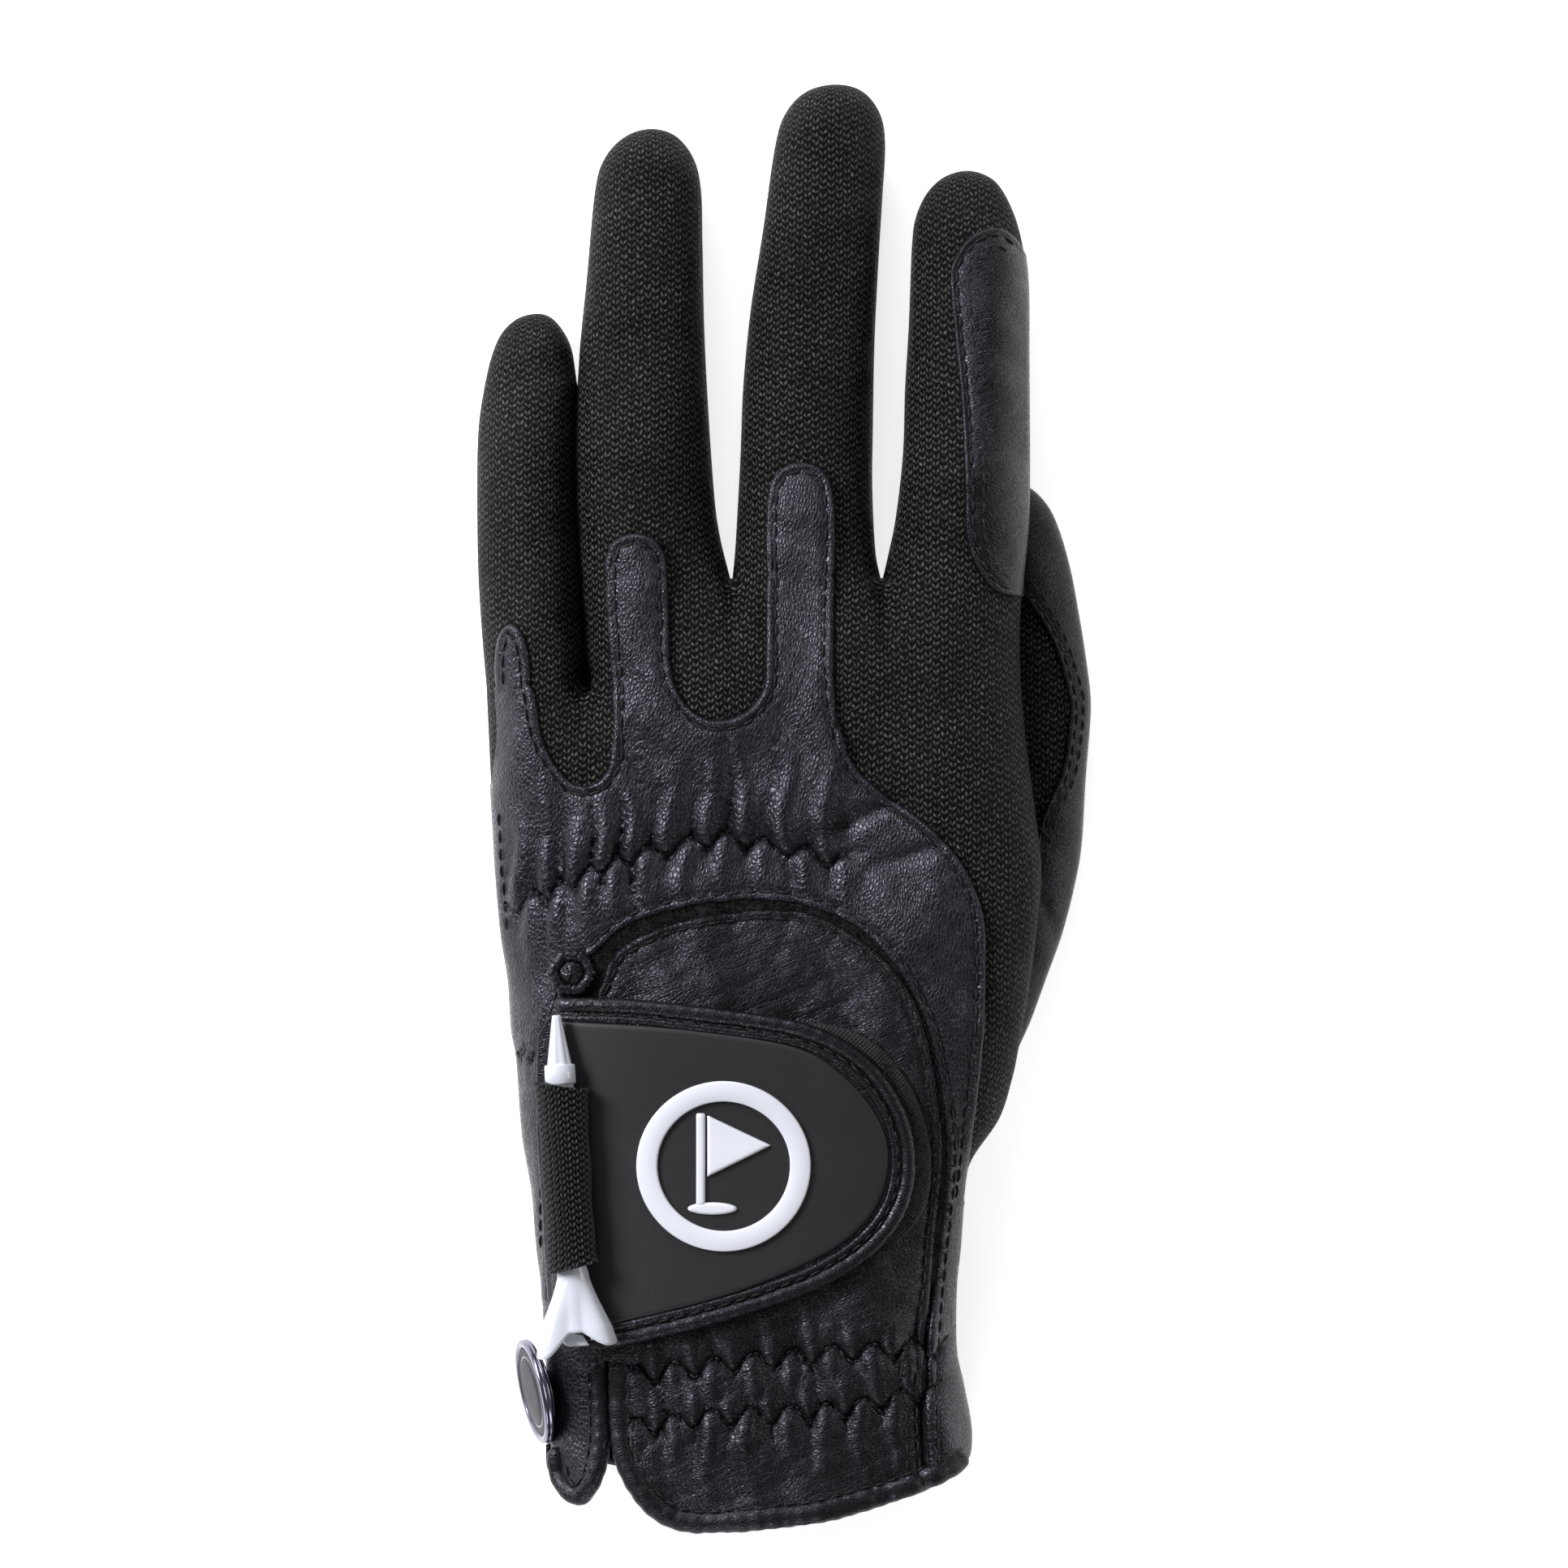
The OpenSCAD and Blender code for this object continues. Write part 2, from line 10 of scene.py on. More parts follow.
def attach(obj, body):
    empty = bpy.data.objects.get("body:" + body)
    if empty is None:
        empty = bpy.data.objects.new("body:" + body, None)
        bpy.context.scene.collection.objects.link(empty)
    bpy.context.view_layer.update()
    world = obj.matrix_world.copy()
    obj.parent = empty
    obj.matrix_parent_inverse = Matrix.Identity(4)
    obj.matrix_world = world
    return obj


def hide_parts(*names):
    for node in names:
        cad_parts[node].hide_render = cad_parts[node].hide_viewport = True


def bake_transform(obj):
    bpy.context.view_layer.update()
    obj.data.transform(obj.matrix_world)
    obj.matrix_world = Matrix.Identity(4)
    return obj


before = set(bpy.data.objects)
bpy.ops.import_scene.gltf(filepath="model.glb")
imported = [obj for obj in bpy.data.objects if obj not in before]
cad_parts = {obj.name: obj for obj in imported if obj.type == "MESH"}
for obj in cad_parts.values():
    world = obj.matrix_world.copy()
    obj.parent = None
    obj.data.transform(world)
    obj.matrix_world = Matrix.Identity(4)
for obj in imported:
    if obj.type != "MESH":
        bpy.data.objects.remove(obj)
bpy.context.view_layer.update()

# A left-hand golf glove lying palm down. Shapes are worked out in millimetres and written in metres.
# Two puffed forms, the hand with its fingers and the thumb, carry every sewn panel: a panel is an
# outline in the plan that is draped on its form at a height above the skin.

MM = 0.001
rng = np.random.default_rng(7)


# ---------------------------------------------------------------- curves

def curve(points, step=0.8):
    """A smooth open curve through the points, resampled at an even step."""
    p = np.array(points, float)
    p = np.vstack([2 * p[0] - p[1], p, 2 * p[-1] - p[-2]])
    out = []
    for a, b, c, d in zip(p[:-3], p[1:-2], p[2:-1], p[3:]):
        n = max(3, int(np.linalg.norm(c - b) / 0.25))
        t = np.linspace(0, 1, n, endpoint=False)[:, None]
        out.append(0.5 * (2 * b + (c - a) * t + (2 * a - 5 * b + 4 * c - d) * t ** 2
                          + (3 * b - a - 3 * c + d) * t ** 3))
    out.append(p[-2][None])
    return even(np.vstack(out), step)


def even(p, step):
    """The same polyline with points at an even step."""
    gaps = np.linalg.norm(np.diff(p, axis=0), axis=1)
    s = np.concatenate([[0], np.cumsum(gaps)])
    t = np.linspace(0, s[-1], max(2, int(round(s[-1] / step)) + 1))
    return np.stack([np.interp(t, s, p[:, k]) for k in range(p.shape[1])], 1)


def line(a, b, step=0.8):
    return even(np.array([a, b], float), step)


def joined(*curves):
    """A closed outline from curves that follow each other, without repeated points, turning left."""
    p = np.vstack(curves)
    keep = [0]
    for i in range(1, len(p)):
        if np.linalg.norm(p[i] - p[keep[-1]]) > 0.05:
            keep.append(i)
    p = p[keep]
    if np.linalg.norm(p[0] - p[-1]) < 0.05:
        p = p[:-1]
    x, y = p[:, 0], p[:, 1]
    double_area = np.sum(x * np.roll(y, -1) - y * np.roll(x, -1))
    return p if double_area > 0 else p[::-1]


def between(p, low, high):
    """The points of a curve whose y lies in a range."""
    return p[(p[:, 1] >= low - 1e-6) & (p[:, 1] <= high + 1e-6)]


def inside(points, outline):
    """Which points lie inside an outline."""
    x, y = points[:, 0], points[:, 1]
    hit = np.zeros(len(points), bool)
    for (x1, y1), (x2, y2) in zip(outline, np.roll(outline, -1, 0)):
        over = (y1 > y) != (y2 > y)
        if over.any():
            hit[over] ^= x[over] < (x2 - x1) * (y[over] - y1) / (y2 - y1) + x1
    return hit


def smooth(t):
    """An even step from 0 to 1 as t goes from 0 to 1."""
    t = np.clip(t, 0, 1)
    return t * t * (3 - 2 * t)


def unit(vectors):
    return vectors / np.maximum(np.linalg.norm(vectors, axis=1), 1e-9)[:, None]


def at(value, table):
    """Linear interpolation in a table of (key, value) pairs."""
    keys, values = zip(*table)
    return np.interp(value, keys, values)


class Edge:
    """Finds the nearest point of a polyline."""

    def __init__(self, points, closed=True):
        self.p, self.closed = np.asarray(points, float), closed
        self.tree = KDTree(len(self.p))
        for i, (x, y) in enumerate(self.p):
            self.tree.insert((x, y, 0), i)
        self.tree.balance()

    def near(self, xy):
        """The distance to the line, and the unit direction away from it: inwards, from an outline."""
        find, n = self.tree.find, len(self.p)
        index = np.array([find((x, y, 0))[1] for x, y in xy])
        best = np.full(len(xy), np.inf)
        away = np.zeros((len(xy), 2))
        for shift in (-1, 0):
            i, j = index + shift, index + shift + 1
            if self.closed:
                i, j = i % n, j % n
            else:
                i, j = np.clip(i, 0, n - 2), np.clip(j, 1, n - 1)
            a, ab = self.p[i], self.p[j] - self.p[i]
            size = np.maximum((ab ** 2).sum(1), 1e-12)
            t = np.clip(((xy - a) * ab).sum(1) / size, 0, 1)
            gap = xy - a - ab * t[:, None]
            d = np.linalg.norm(gap, axis=1)
            normal = np.stack([-ab[:, 1], ab[:, 0]], 1) / np.sqrt(size)[:, None]
            direction = np.where(d[:, None] > 1e-3, gap / np.maximum(d, 1e-9)[:, None], normal)
            better = d < best
            best[better], away[better] = d[better], direction[better]
        return best, away


# ---------------------------------------------------------------- puffed forms

class Pillow:
    """A puffed form over an outline. It rises with the root of a soap film that the outline holds."""

    SOFT = 3.0  # distance over which the skin turns down at its edge
    GRIDS = ((2.0, 300), (1.0, 160), (0.5, 120))  # steps of the film's grid, and turns of smoothing
    NEAR_EDGE, FILLS = 0.3, 10  # the film is filled in from its neighbours this close to the edge
    FOLD_START = 2.5  # how soon the folds set in behind the edge
    FLOOR_ROUND, FLOOR_SINK = 1.2, 0.25  # how roundly and how low the skin comes down to the floor

    def __init__(self, outline, reach, rise, drop, middle, relief, floor, film_outline=None):
        """reach is how far in the film levels off, rise and drop scale the form above and below its
        middle height, relief is its folds and floor is what it lies on."""
        self.edge = Edge(outline)
        film_edge = self.edge if film_outline is None else Edge(film_outline)
        self.rise, self.drop = rise, drop
        self.middle, self.relief, self.floor = middle, relief, floor
        self.low = np.floor(outline.min(0)) - 4
        high = np.ceil(outline.max(0)) + 4
        grid = None
        for step, turns in self.GRIDS:
            nx, ny = (((high - self.low) / step).astype(int) + 1)
            x, y = self.low[0] + step * np.arange(nx), self.low[1] + step * np.arange(ny)
            xx, yy = np.meshgrid(x, y)
            flat = np.stack([xx.ravel(), yy.ravel()], 1)
            mask = inside(flat, outline).reshape(ny, nx)
            start = np.zeros((ny, nx)) if grid is None else self.sample(grid, flat).reshape(ny, nx)
            self.step = step
            grid = start * mask
            k = (step / reach) ** 2
            for _ in range(turns):
                around = np.zeros_like(grid)
                around[1:-1, 1:-1] = grid[:-2, 1:-1] + grid[2:, 1:-1] + grid[1:-1, :-2] + grid[1:-1, 2:]
                grid = (around + step ** 2) / (4 + k) * mask
        d = np.zeros(len(flat))
        d[mask.ravel()] = film_edge.near(flat[mask.ravel()])[0]
        soft = self.SOFT * (1 - np.exp(-d / self.SOFT)).reshape(ny, nx)
        good = mask & (soft > self.NEAR_EDGE)
        v = np.where(good, grid / np.maximum(soft, 1e-6), 0)
        known = good.astype(float)
        for _ in range(self.FILLS):
            total, weight = np.zeros_like(v), np.zeros_like(v)
            for dy, dx in ((0, 1), (0, -1), (1, 0), (-1, 0)):
                total += np.roll(v * known, (dy, dx), (0, 1))
                weight += np.roll(known, (dy, dx), (0, 1))
            fill = (known == 0) & (weight > 0)
            v[fill], known[fill] = total[fill] / weight[fill], 1
        self.v = v
        self.vy, self.vx = np.gradient(v, self.step)

    def sample(self, grid, xy):
        """The value of a grid at points in the plan."""
        ny, nx = grid.shape
        fx = np.clip((xy[:, 0] - self.low[0]) / self.step, 0, nx - 1.001)
        fy = np.clip((xy[:, 1] - self.low[1]) / self.step, 0, ny - 1.001)
        i, j = fx.astype(int), fy.astype(int)
        a, b = fx - i, fy - j
        return (grid[j, i] * (1 - a) * (1 - b) + grid[j, i + 1] * a * (1 - b)
                + grid[j + 1, i] * (1 - a) * b + grid[j + 1, i + 1] * a * b)

    def field(self, xy):
        """The root of the film, and the slope of the film itself."""
        d, inward = self.edge.near(xy)
        s, slope = self.SOFT * (1 - np.exp(-d / self.SOFT)), np.exp(-d / self.SOFT)
        v = self.sample(self.v, xy)
        rate = np.stack([self.sample(self.vx, xy), self.sample(self.vy, xy)], 1)
        u = np.maximum(s * v, 0)
        return np.sqrt(u), (slope * v)[:, None] * inward + s[:, None] * rate

    def slope_of(self, f, xy, e=0.15):
        x, y = xy[:, 0], xy[:, 1]
        return np.stack([(f(x + e, y) - f(x - e, y)) / (2 * e), (f(x, y + e) - f(x, y - e)) / (2 * e)], 1)

    def top(self, xy, height=0.0):
        """Points over the upper skin."""
        xy = np.asarray(xy, float)
        root, gu = self.field(xy)
        fade = root ** 2 / (root ** 2 + self.FOLD_START)
        ground = lambda x, y: self.middle(x, y) + self.relief(x, y) * fade
        z = ground(xy[:, 0], xy[:, 1]) + self.rise * root
        gm = self.slope_of(ground, xy)
        n = unit(np.column_stack([-self.rise * gu - 2 * root[:, None] * gm, 2 * root]))
        return np.column_stack([xy, z]) + n * np.broadcast_to(height, len(xy))[:, None]

    def bottom(self, xy, height=0.0):
        """Points under the lower skin, which lies flat on the floor where it meets it."""
        xy = np.asarray(xy, float)
        root, gu = self.field(xy)
        m, low = self.middle(xy[:, 0], xy[:, 1]), self.floor(xy[:, 0], xy[:, 1])
        over = m - self.drop * root - low
        z = low + 0.5 * (over + np.sqrt(over ** 2 + self.FLOOR_ROUND)) - self.FLOOR_SINK
        z = np.maximum(z, low)
        z = np.where(root < 1e-3, m, z)
        side = np.clip((over + 1) / 2, 0, 1)
        n = unit(np.column_stack([-self.drop * gu * side[:, None], -2 * root - (1 - side)]))
        return np.column_stack([xy, z]) + n * np.broadcast_to(height, len(xy))[:, None]

    def weave(self, xy, roll=8.5):
        """The cloth's own coordinates: the plan, stretched where the skin rolls over the edge."""
        d, inward = self.edge.near(xy)
        d = np.minimum(d, roll)
        extra = roll * np.arcsin(1 - d / roll) - (roll - d)
        return xy - inward * extra[:, None]


# ---------------------------------------------------------------- outline of the glove

LITTLE_ROOT_Y, ROOT_Y = 21.0, 40.0  # where the little finger and the others leave the hand
TOUCH_GAP = 0.004  # air between the little finger and the ring finger where they touch
CUFF_END = -150.0  # the form runs on past the cuff's edge, where its panels are cut

left_side = curve([
    (-52.6, 21), (-51.9, 6), (-51.3, -4), (-50.9, -11.1), (-49.9, -22.6), (-48.6, -31), (-48, -39.7),
    (-47.1, -45), (-46.1, -58.3), (-44.4, -68.3), (-43.7, -76.9), (-42.6, -86.9), (-42.2, -94),
    (-41.6, -104), (-41.2, -113), (-40.8, -125), (-40.5, CUFF_END)])
right_side = curve([
    (31, CUFF_END), (32.4, -120), (33, -111), (31.6, -102.6), (30.3, -96), (30.3, -85.4), (31, -78.3),
    (31.7, -69.7), (33, -63), (38, -55.4), (40.2, -48.3), (41.3, -42.6), (43.4, -29.7), (45.2, -12.6),
    (44.1, -1.1), (42.3, 13.1), (41.4, 27.4), (41.9, ROOT_Y)])
index_edge = curve([
    (41.9, ROOT_Y), (42.8, 50), (43, 60), (43, 77.4), (43, 91), (42.3, 98), (40.6, 104.6), (37.6, 110),
    (33.4, 112.1), (29, 111.4), (25.6, 108.6), (23.4, 104.2), (22.6, 98.9), (22, 84.6), (21.3, 73.1),
    (20.9, 61.7), (19.6, 50.3), (18.2, 43.4), (17.4, ROOT_Y)])
middle_edge = curve([
    (17.0, ROOT_Y), (16.1, 45), (15.6, 56), (15.7, 66), (16, 81.7), (16.7, 96), (17.4, 107.4),
    (17.9, 117), (16.9, 122.5), (13.9, 126.2), (9.4, 127.4), (4.2, 126.3), (0.4, 122.6), (-1.6, 116.5),
    (-3.7, 101.7), (-5.9, 87.4), (-7.2, 74), (-7.7, 61.7), (-8.3, 50.3), (-8.7, 44), (-9.1, ROOT_Y)])
touch_low = curve([(-34.8, LITTLE_ROOT_Y), (-35.4, 31), (-36, ROOT_Y)])
touch_high = curve([(-36, ROOT_Y), (-36.6, 50.3), (-36.85, 60), (-36.8, 67.4), (-36.5, 74)])
touch_line = np.vstack([touch_low, touch_high[1:]])
ring_edge = np.vstack([
    curve([
        (-9.5, ROOT_Y), (-11.3, 47.4), (-12.3, 54.6), (-13.4, 70.3), (-14.1, 84.6), (-14.4, 98.9),
        (-14.7, 109), (-16.1, 114.6), (-19.2, 118.4), (-23.5, 119.6), (-28, 118.3), (-31.6, 114.6),
        (-33.4, 108.9), (-34.9, 93), (-35.9, 83), (-36.5, 74)]), touch_high[-2::-1]])
ring_flank = touch_low[::-1]
little_edge = np.vstack([
    touch_low - [TOUCH_GAP, 0], touch_high[1:] - [TOUCH_GAP, 0],
    curve([(-36.53, 74), (-37.9, 81.6), (-41.4, 86.4), (-46, 86.6), (-49.6, 84), (-51.7, 79.6), (-53.2, 73),
           (-54.1, 66), (-54.3, 56), (-54.1, 41.7), (-53.4, 30.3), (-52.6, LITTLE_ROOT_Y)])[1:]])
hand_outline = joined(left_side, right_side, index_edge, middle_edge, ring_edge, ring_flank, little_edge)
# The film spans the line where two fingers touch, and the skin comes down to it on both sides
film_outline = hand_outline[Edge(touch_line, closed=False).near(hand_outline)[0] > 0.05]

thumb_outer = curve([
    (38.6, -52), (40.6, -44.7), (43.4, -38.3), (46.3, -30.4), (49.1, -22.6), (51.3, -14), (52.5, -6.9),
    (53.2, 4.6), (53.9, 13.1), (54.1, 19), (53.2, 26.5), (52, 34), (50.6, 41.5), (48.6, 48.6),
    (46.3, 53.3), (42.6, 56.4), (38.8, 55), (36.3, 50)])
thumb_inner = curve([
    (36.3, 50), (35.6, 40), (36.4, 28), (36.8, 16), (36.4, 4), (35, -8), (32.8, -22), (30.5, -36),
    (29, -52)])
thumb_outline = joined(thumb_outer, thumb_inner)

# Zigzag elastic seams that gather the cloth: the crests of their scallops, and how deep the scallops are
KNUCKLE_SEAM = ([(-49.6, -17.6), (-43.3, -15.1), (-38.9, -13.4), (-33.9, -10.9), (-29.3, -8.8),
                 (-23.8, -7.4), (-16.5, -5.7), (-10.2, -4.6), (-3.1, -5.9), (4, -7.4), (10.9, -8.8)], 2.8)
CUFF_SEAM_HIGH = ([(-26, -98), (-19, -97.2), (-12.2, -96.4), (-5.3, -95.6), (1.6, -94.9), (8.6, -94.3),
                   (15.6, -93.8), (22.2, -93.4), (29, -93.2)], 3.8)
CUFF_SEAM_LOW = ([(-25.6, -107.2), (-19.1, -106.3), (-12.6, -105.4), (-5.9, -105), (1.4, -104.8),
                  (7.5, -104.3), (13.9, -103.4), (20.1, -102.1), (27, -101)], 3.8)
SIDE_SEAM = ([(-46.8, -43.2), (-45, -42.6), (-43.2, -43.2)], 2.0)


def waves(seed, scale, count=7):
    """A gentle seeded noise of the plan with a given wavelength, about -1 to 1."""
    r = np.random.default_rng(seed)
    turn, phase = r.uniform(0, 2 * math.pi, count), r.uniform(0, 2 * math.pi, count)
    size = 2 * math.pi / (scale * r.uniform(0.7, 1.5, count))
    return lambda x, y: sum(np.sin((x * math.cos(a) + y * math.sin(a)) * k + p)
                            for a, k, p in zip(turn, size, phase)) / math.sqrt(count)


lumps, drift, ripple, crumple = waves(3, 26), waves(5, 18), waves(11, 7.5), waves(17, 3.6)


def seam_line(seam, x):
    """The height y of a zigzag seam at x, and its phase: whole at a crest, half in a valley."""
    crests, deep = seam
    xs, ys = zip(*crests)
    phase = np.interp(x, xs, np.arange(len(xs)))
    return np.interp(x, xs, ys) - deep * (1 - np.abs(np.cos(math.pi * phase))), phase


def seam_path(seam, steps=12):
    """The zigzag seam as points in the plan."""
    xs = [c[0] for c in seam[0]]
    x = np.interp(np.arange(0, len(xs) - 1 + 1e-9, 1 / steps), np.arange(len(xs)), xs)
    return np.stack([x, seam_line(seam, x)[0]], 1)


def gather(x, y, seam, height, above, below):
    """Folds locked to a zigzag seam: the cloth puffs up under each crest and over each valley."""
    line_y, phase = seam_line(seam, x)
    xs, ys = zip(*seam[0])
    off = y - np.interp(x, xs, ys) + seam[1] / 2
    ends = smooth((x - xs[0] + 4) / 5) * smooth((xs[-1] + 4 - x) / 5)
    length = np.where(off > 0, above, below) * (1 + 0.35 * np.sin(2.3 * np.round(phase * 2)))
    fade = np.exp(-(np.abs(off) / length) ** 1.4)
    bend = phase + 0.10 * drift(x, y) * np.abs(off) / 6
    folds = -np.tanh(off / 1.6) * np.cos(2 * math.pi * bend) + 0.35 * np.cos(4 * math.pi * bend + 1)
    groove = -0.75 * np.exp(-((y - line_y) / 0.8) ** 2) - 0.8 * np.exp(-(off / 4) ** 2)
    return ends * (height * folds * fade + groove)


def crease(x, y, a, b, width, depth, free=False):
    """A groove along a straight line that fades towards b, or towards both ends if it is free."""
    ax, ay, bx, by = *a, *b
    size = (bx - ax) ** 2 + (by - ay) ** 2
    t = np.clip(((x - ax) * (bx - ax) + (y - ay) * (by - ay)) / size, 0, 1)
    d = np.hypot(x - ax - t * (bx - ax), y - ay - t * (by - ay))
    fade = np.sin(math.pi * t) ** 1.2 if free else 1 - 0.75 * t
    return -depth * np.exp(-(d / width) ** 2) * fade


def hand_relief(x, y):
    """The folds, gathers and creases of the hand and the fingers."""
    fingers = smooth((y - 30) / 20)
    z = 0.7 * lumps(x, y) + 0.2 * ripple(x, y) * (1 - 0.6 * fingers) + 0.05 * crumple(x, y)
    z += gather(x, y, KNUCKLE_SEAM, 1.15, 11, 6)
    z += gather(x, y, CUFF_SEAM_HIGH, 0.9, 4.5, 4.5)
    z += gather(x, y, CUFF_SEAM_LOW, 0.9, 4, 6)
    z += gather(x, y, SIDE_SEAM, 0.5, 3, 4)
    z += crease(x, y, (17.2, 41), (18.4, 26.5), 1.3, 3.4)
    z += crease(x, y, (-9.3, 41), (-8.7, 29), 1.3, 3.4)
    z += crease(x, y, (-34.9, 22), (-34.4, 13), 1.9, 2.2)
    z += crease(x, y, (24, 3), (1, -8.6), 1.5, 1.3, True)
    z += crease(x, y, (13, -12), (33, -5), 1.4, 0.8, True)
    z += crease(x, y, (24.5, -127), (22.8, -88), 0.9, 1.8)
    z += 0.25 * fingers * np.sin((y + 0.25 * x + 2 * drift(x, y)) * 2 * math.pi / 13)
    return z


def hand_middle(x, y):
    """The height of the side seam all round the hand, and of the form's middle behind it."""
    rise = smooth((y + 60) / 26)
    across = at(x, [(-54, 9.2), (-45, 9.4), (-24, 10.6), (4, 11.4), (20, 13.0), (32, 15.3), (45, 16.9)])
    low = at(x, [(-54, 9), (33, 9.5), (45, 10)])
    z = low + (across - low) * rise
    little_side = np.interp(y, touch_line[:, 1], touch_line[:, 0]) - TOUCH_GAP / 2
    tips = np.select([x > 19, x > -8.9, x > little_side],
                     [at(y, [(40, 16.4), (56, 16), (80, 12), (112, 8.4)]),
                      at(y, [(40, 11.2), (127, 8.2)]), at(y, [(40, 10.8), (120, 8)])],
                     at(y, [(21, 9.5), (87, 7.5)]))
    start = np.where(x < little_side, LITTLE_ROOT_Y, ROOT_Y)
    cuff = at(y, [(-150, -1.6), (-95, -0.6), (-60, 0)])
    return z + (tips - z) * smooth((y - start) / 18) + cuff


def thumb_room(x, y):
    """How high the palm and the index finger ride over the thumb."""
    return 12.6 * smooth((x - 17) / 13) * smooth((y + 46) / 10) * (1 - smooth((y - 46) / 16))


def thumb_middle(x, y):
    return at(y, [(-52, 6.4), (18, 6), (56, 4.9)]) + 0 * x


def thumb_relief(x, y):
    soft = 0.25 * lumps(y, x) + 0.12 * ripple(x, y)
    return soft + crease(x, y, (45.4, -17), (48, -24), 1.2, 0.8)


def flat(x, y):
    return 0 * x


hand = Pillow(hand_outline, 9.0, 1.68, 2.3, hand_middle, hand_relief, thumb_room, film_outline)
thumb = Pillow(thumb_outline, 8.0, 1.12, 1.3, thumb_middle, thumb_relief, flat)


# ---------------------------------------------------------------- meshes

def new_object(name, points, faces, material, body, slot, weave=None):
    """A mesh from points in millimetres, in a material slot, on a body. The slot argument is not used."""
    mesh = bpy.data.meshes.new(name)
    mesh.from_pydata([tuple(p) for p in np.asarray(points) * MM], [], [tuple(map(int, f)) for f in faces])
    mesh.update()
    mesh.polygons.foreach_set("use_smooth", [True] * len(mesh.polygons))
    obj = bpy.data.objects.new(name, mesh)
    bpy.context.scene.collection.objects.link(obj)
    obj.data.materials.append(material)
    set_weave(obj, points if weave is None else weave)
    settle(obj, body)
    return obj


# Each finger and the thumb bends from the hand over a short stretch beyond its root
BENDS = {
    "index_finger": ((0.031, 0.040, 0.02), (0.031, 0.057, 0.02)),
    "middle_finger": ((0.004, 0.040, 0.02), (0.004, 0.057, 0.02)),
    "ring_finger": ((-0.022, 0.040, 0.02), (-0.022, 0.057, 0.02)),
    "little_finger": ((-0.044, 0.021, 0.015), (-0.044, 0.036, 0.015)),
    "thumb": ((0.0385, -0.046, 0.006), (0.0415, -0.018, 0.006)),
    "closure_tab": ((-0.0345, -0.060, 0.02), (-0.0265, -0.060, 0.02)),
}


def settle(obj, body):
    """Places an object for its body: a mesh on a body that bends has its placement baked into its points,
    and anything else rides on the body.
    """
    if body in BENDS and obj.type == "MESH":
        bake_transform(obj)
    else:
        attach(obj, body)


def set_weave(obj, points):
    """Stores the material's own coordinates, in millimetres, from points with two or three of them."""
    weave = np.zeros((len(points), 3), np.float32)
    weave[:, :points.shape[1]] = points
    attribute = obj.data.attributes.new("weave", "FLOAT_VECTOR", "POINT")
    attribute.data.foreach_set("vector", weave.ravel())


def triangulated(outline, spacing, rims):
    """Points and triangles that fill an outline, with rows of points along it at distances rims in."""
    edge = Edge(outline)
    along = np.roll(outline, -1, 0) - np.roll(outline, 1, 0)
    normal = unit(np.stack([-along[:, 1], along[:, 0]], 1))
    rows = []
    for d in rims:
        p = outline + normal * d
        p = p[inside(p, outline)]
        rows.append(p[edge.near(p)[0] > 0.93 * d] if len(p) else p)
    low, high = outline.min(0), outline.max(0)
    x, y = np.meshgrid(np.arange(low[0], high[0], spacing), np.arange(low[1], high[1], spacing * 0.87))
    x = x + (np.arange(len(y))[:, None] % 2) * spacing / 2
    inner = np.stack([x.ravel(), y.ravel()], 1)
    inner = inner[inside(inner, outline)]
    margin = (rims[-1] if rims else 0) + 0.5 * spacing
    inner = inner[edge.near(inner)[0] > margin]
    points = np.vstack([outline, *rows, inner])
    done = delaunay_2d_cdt([Vector(p) for p in points.tolist()], [], [list(range(len(outline)))], 1, 1e-4)
    return np.array([tuple(v) for v in done[0]]), [f for f in done[2] if len(f) == 3]


# Distances in from an outline at which its panel has rows of points, for a plain and for a turned edge
FORM_RIMS = (0.1, 0.3, 0.65, 1.2, 2.0, 3.0)
EDGE_RIMS = (0.1, 0.25, 0.5, 0.85, 1.25, 1.7, 2.2)


def drape(name, outline, form, side, body, material, slot, height=0.0, free=None, spacing=1.25,
          rims=FORM_RIMS):
    """A panel: an outline laid on one side of a form. height is how far it stands off the skin, as a
    number or from the distance to its free edges and the place."""
    xy, faces = triangulated(outline, spacing, rims)
    h = height
    if callable(height):
        d = np.min([Edge(p, closed=False).near(xy)[0] for p in free], axis=0)
        h = height(d, xy[:, 0], xy[:, 1])
    points = form.top(xy, h) if side == "top" else form.bottom(xy, h)
    if side == "bottom":
        faces = [f[::-1] for f in faces]
        points[:, 2] = np.maximum(points[:, 2], 0.02)
    return new_object(name, points, faces, material, body, slot, form.weave(xy))


def thicken(obj, thickness):
    """Gives a panel its thickness, inwards."""
    solid = obj.modifiers.new("thickness", "SOLIDIFY")
    solid.thickness = thickness * MM
    solid.offset = -1
    solid.use_even_offset = False
    return obj


def turned_edge(thick, stitch_at):
    """The height of leather with a turned and stitched edge."""
    rim, pitch = 0.3, 3.0

    def height(d, x, y):
        pucker = 0.5 + 0.5 * np.sin(2 * math.pi * (x + y) / pitch)
        roll = rim * np.exp(-((d - 0.45 * stitch_at) / (0.38 * stitch_at)) ** 2) * (0.75 + 0.25 * pucker)
        groove = -0.42 * np.exp(-((d - stitch_at) / 0.32) ** 2) * (0.7 + 0.3 * pucker)
        return thick * (1 - np.exp(-d / 0.16)) + roll + groove
    return height


def ring_faces(rows, columns, closed=False):
    """Faces between rings of points. closed joins the last ring to the first."""
    faces = []
    for i in range(rows if closed else rows - 1):
        j = (i + 1) % rows
        for k in range(columns):
            m = (k + 1) % columns
            faces.append((i * columns + k, i * columns + m, j * columns + m, j * columns + k))
    return faces


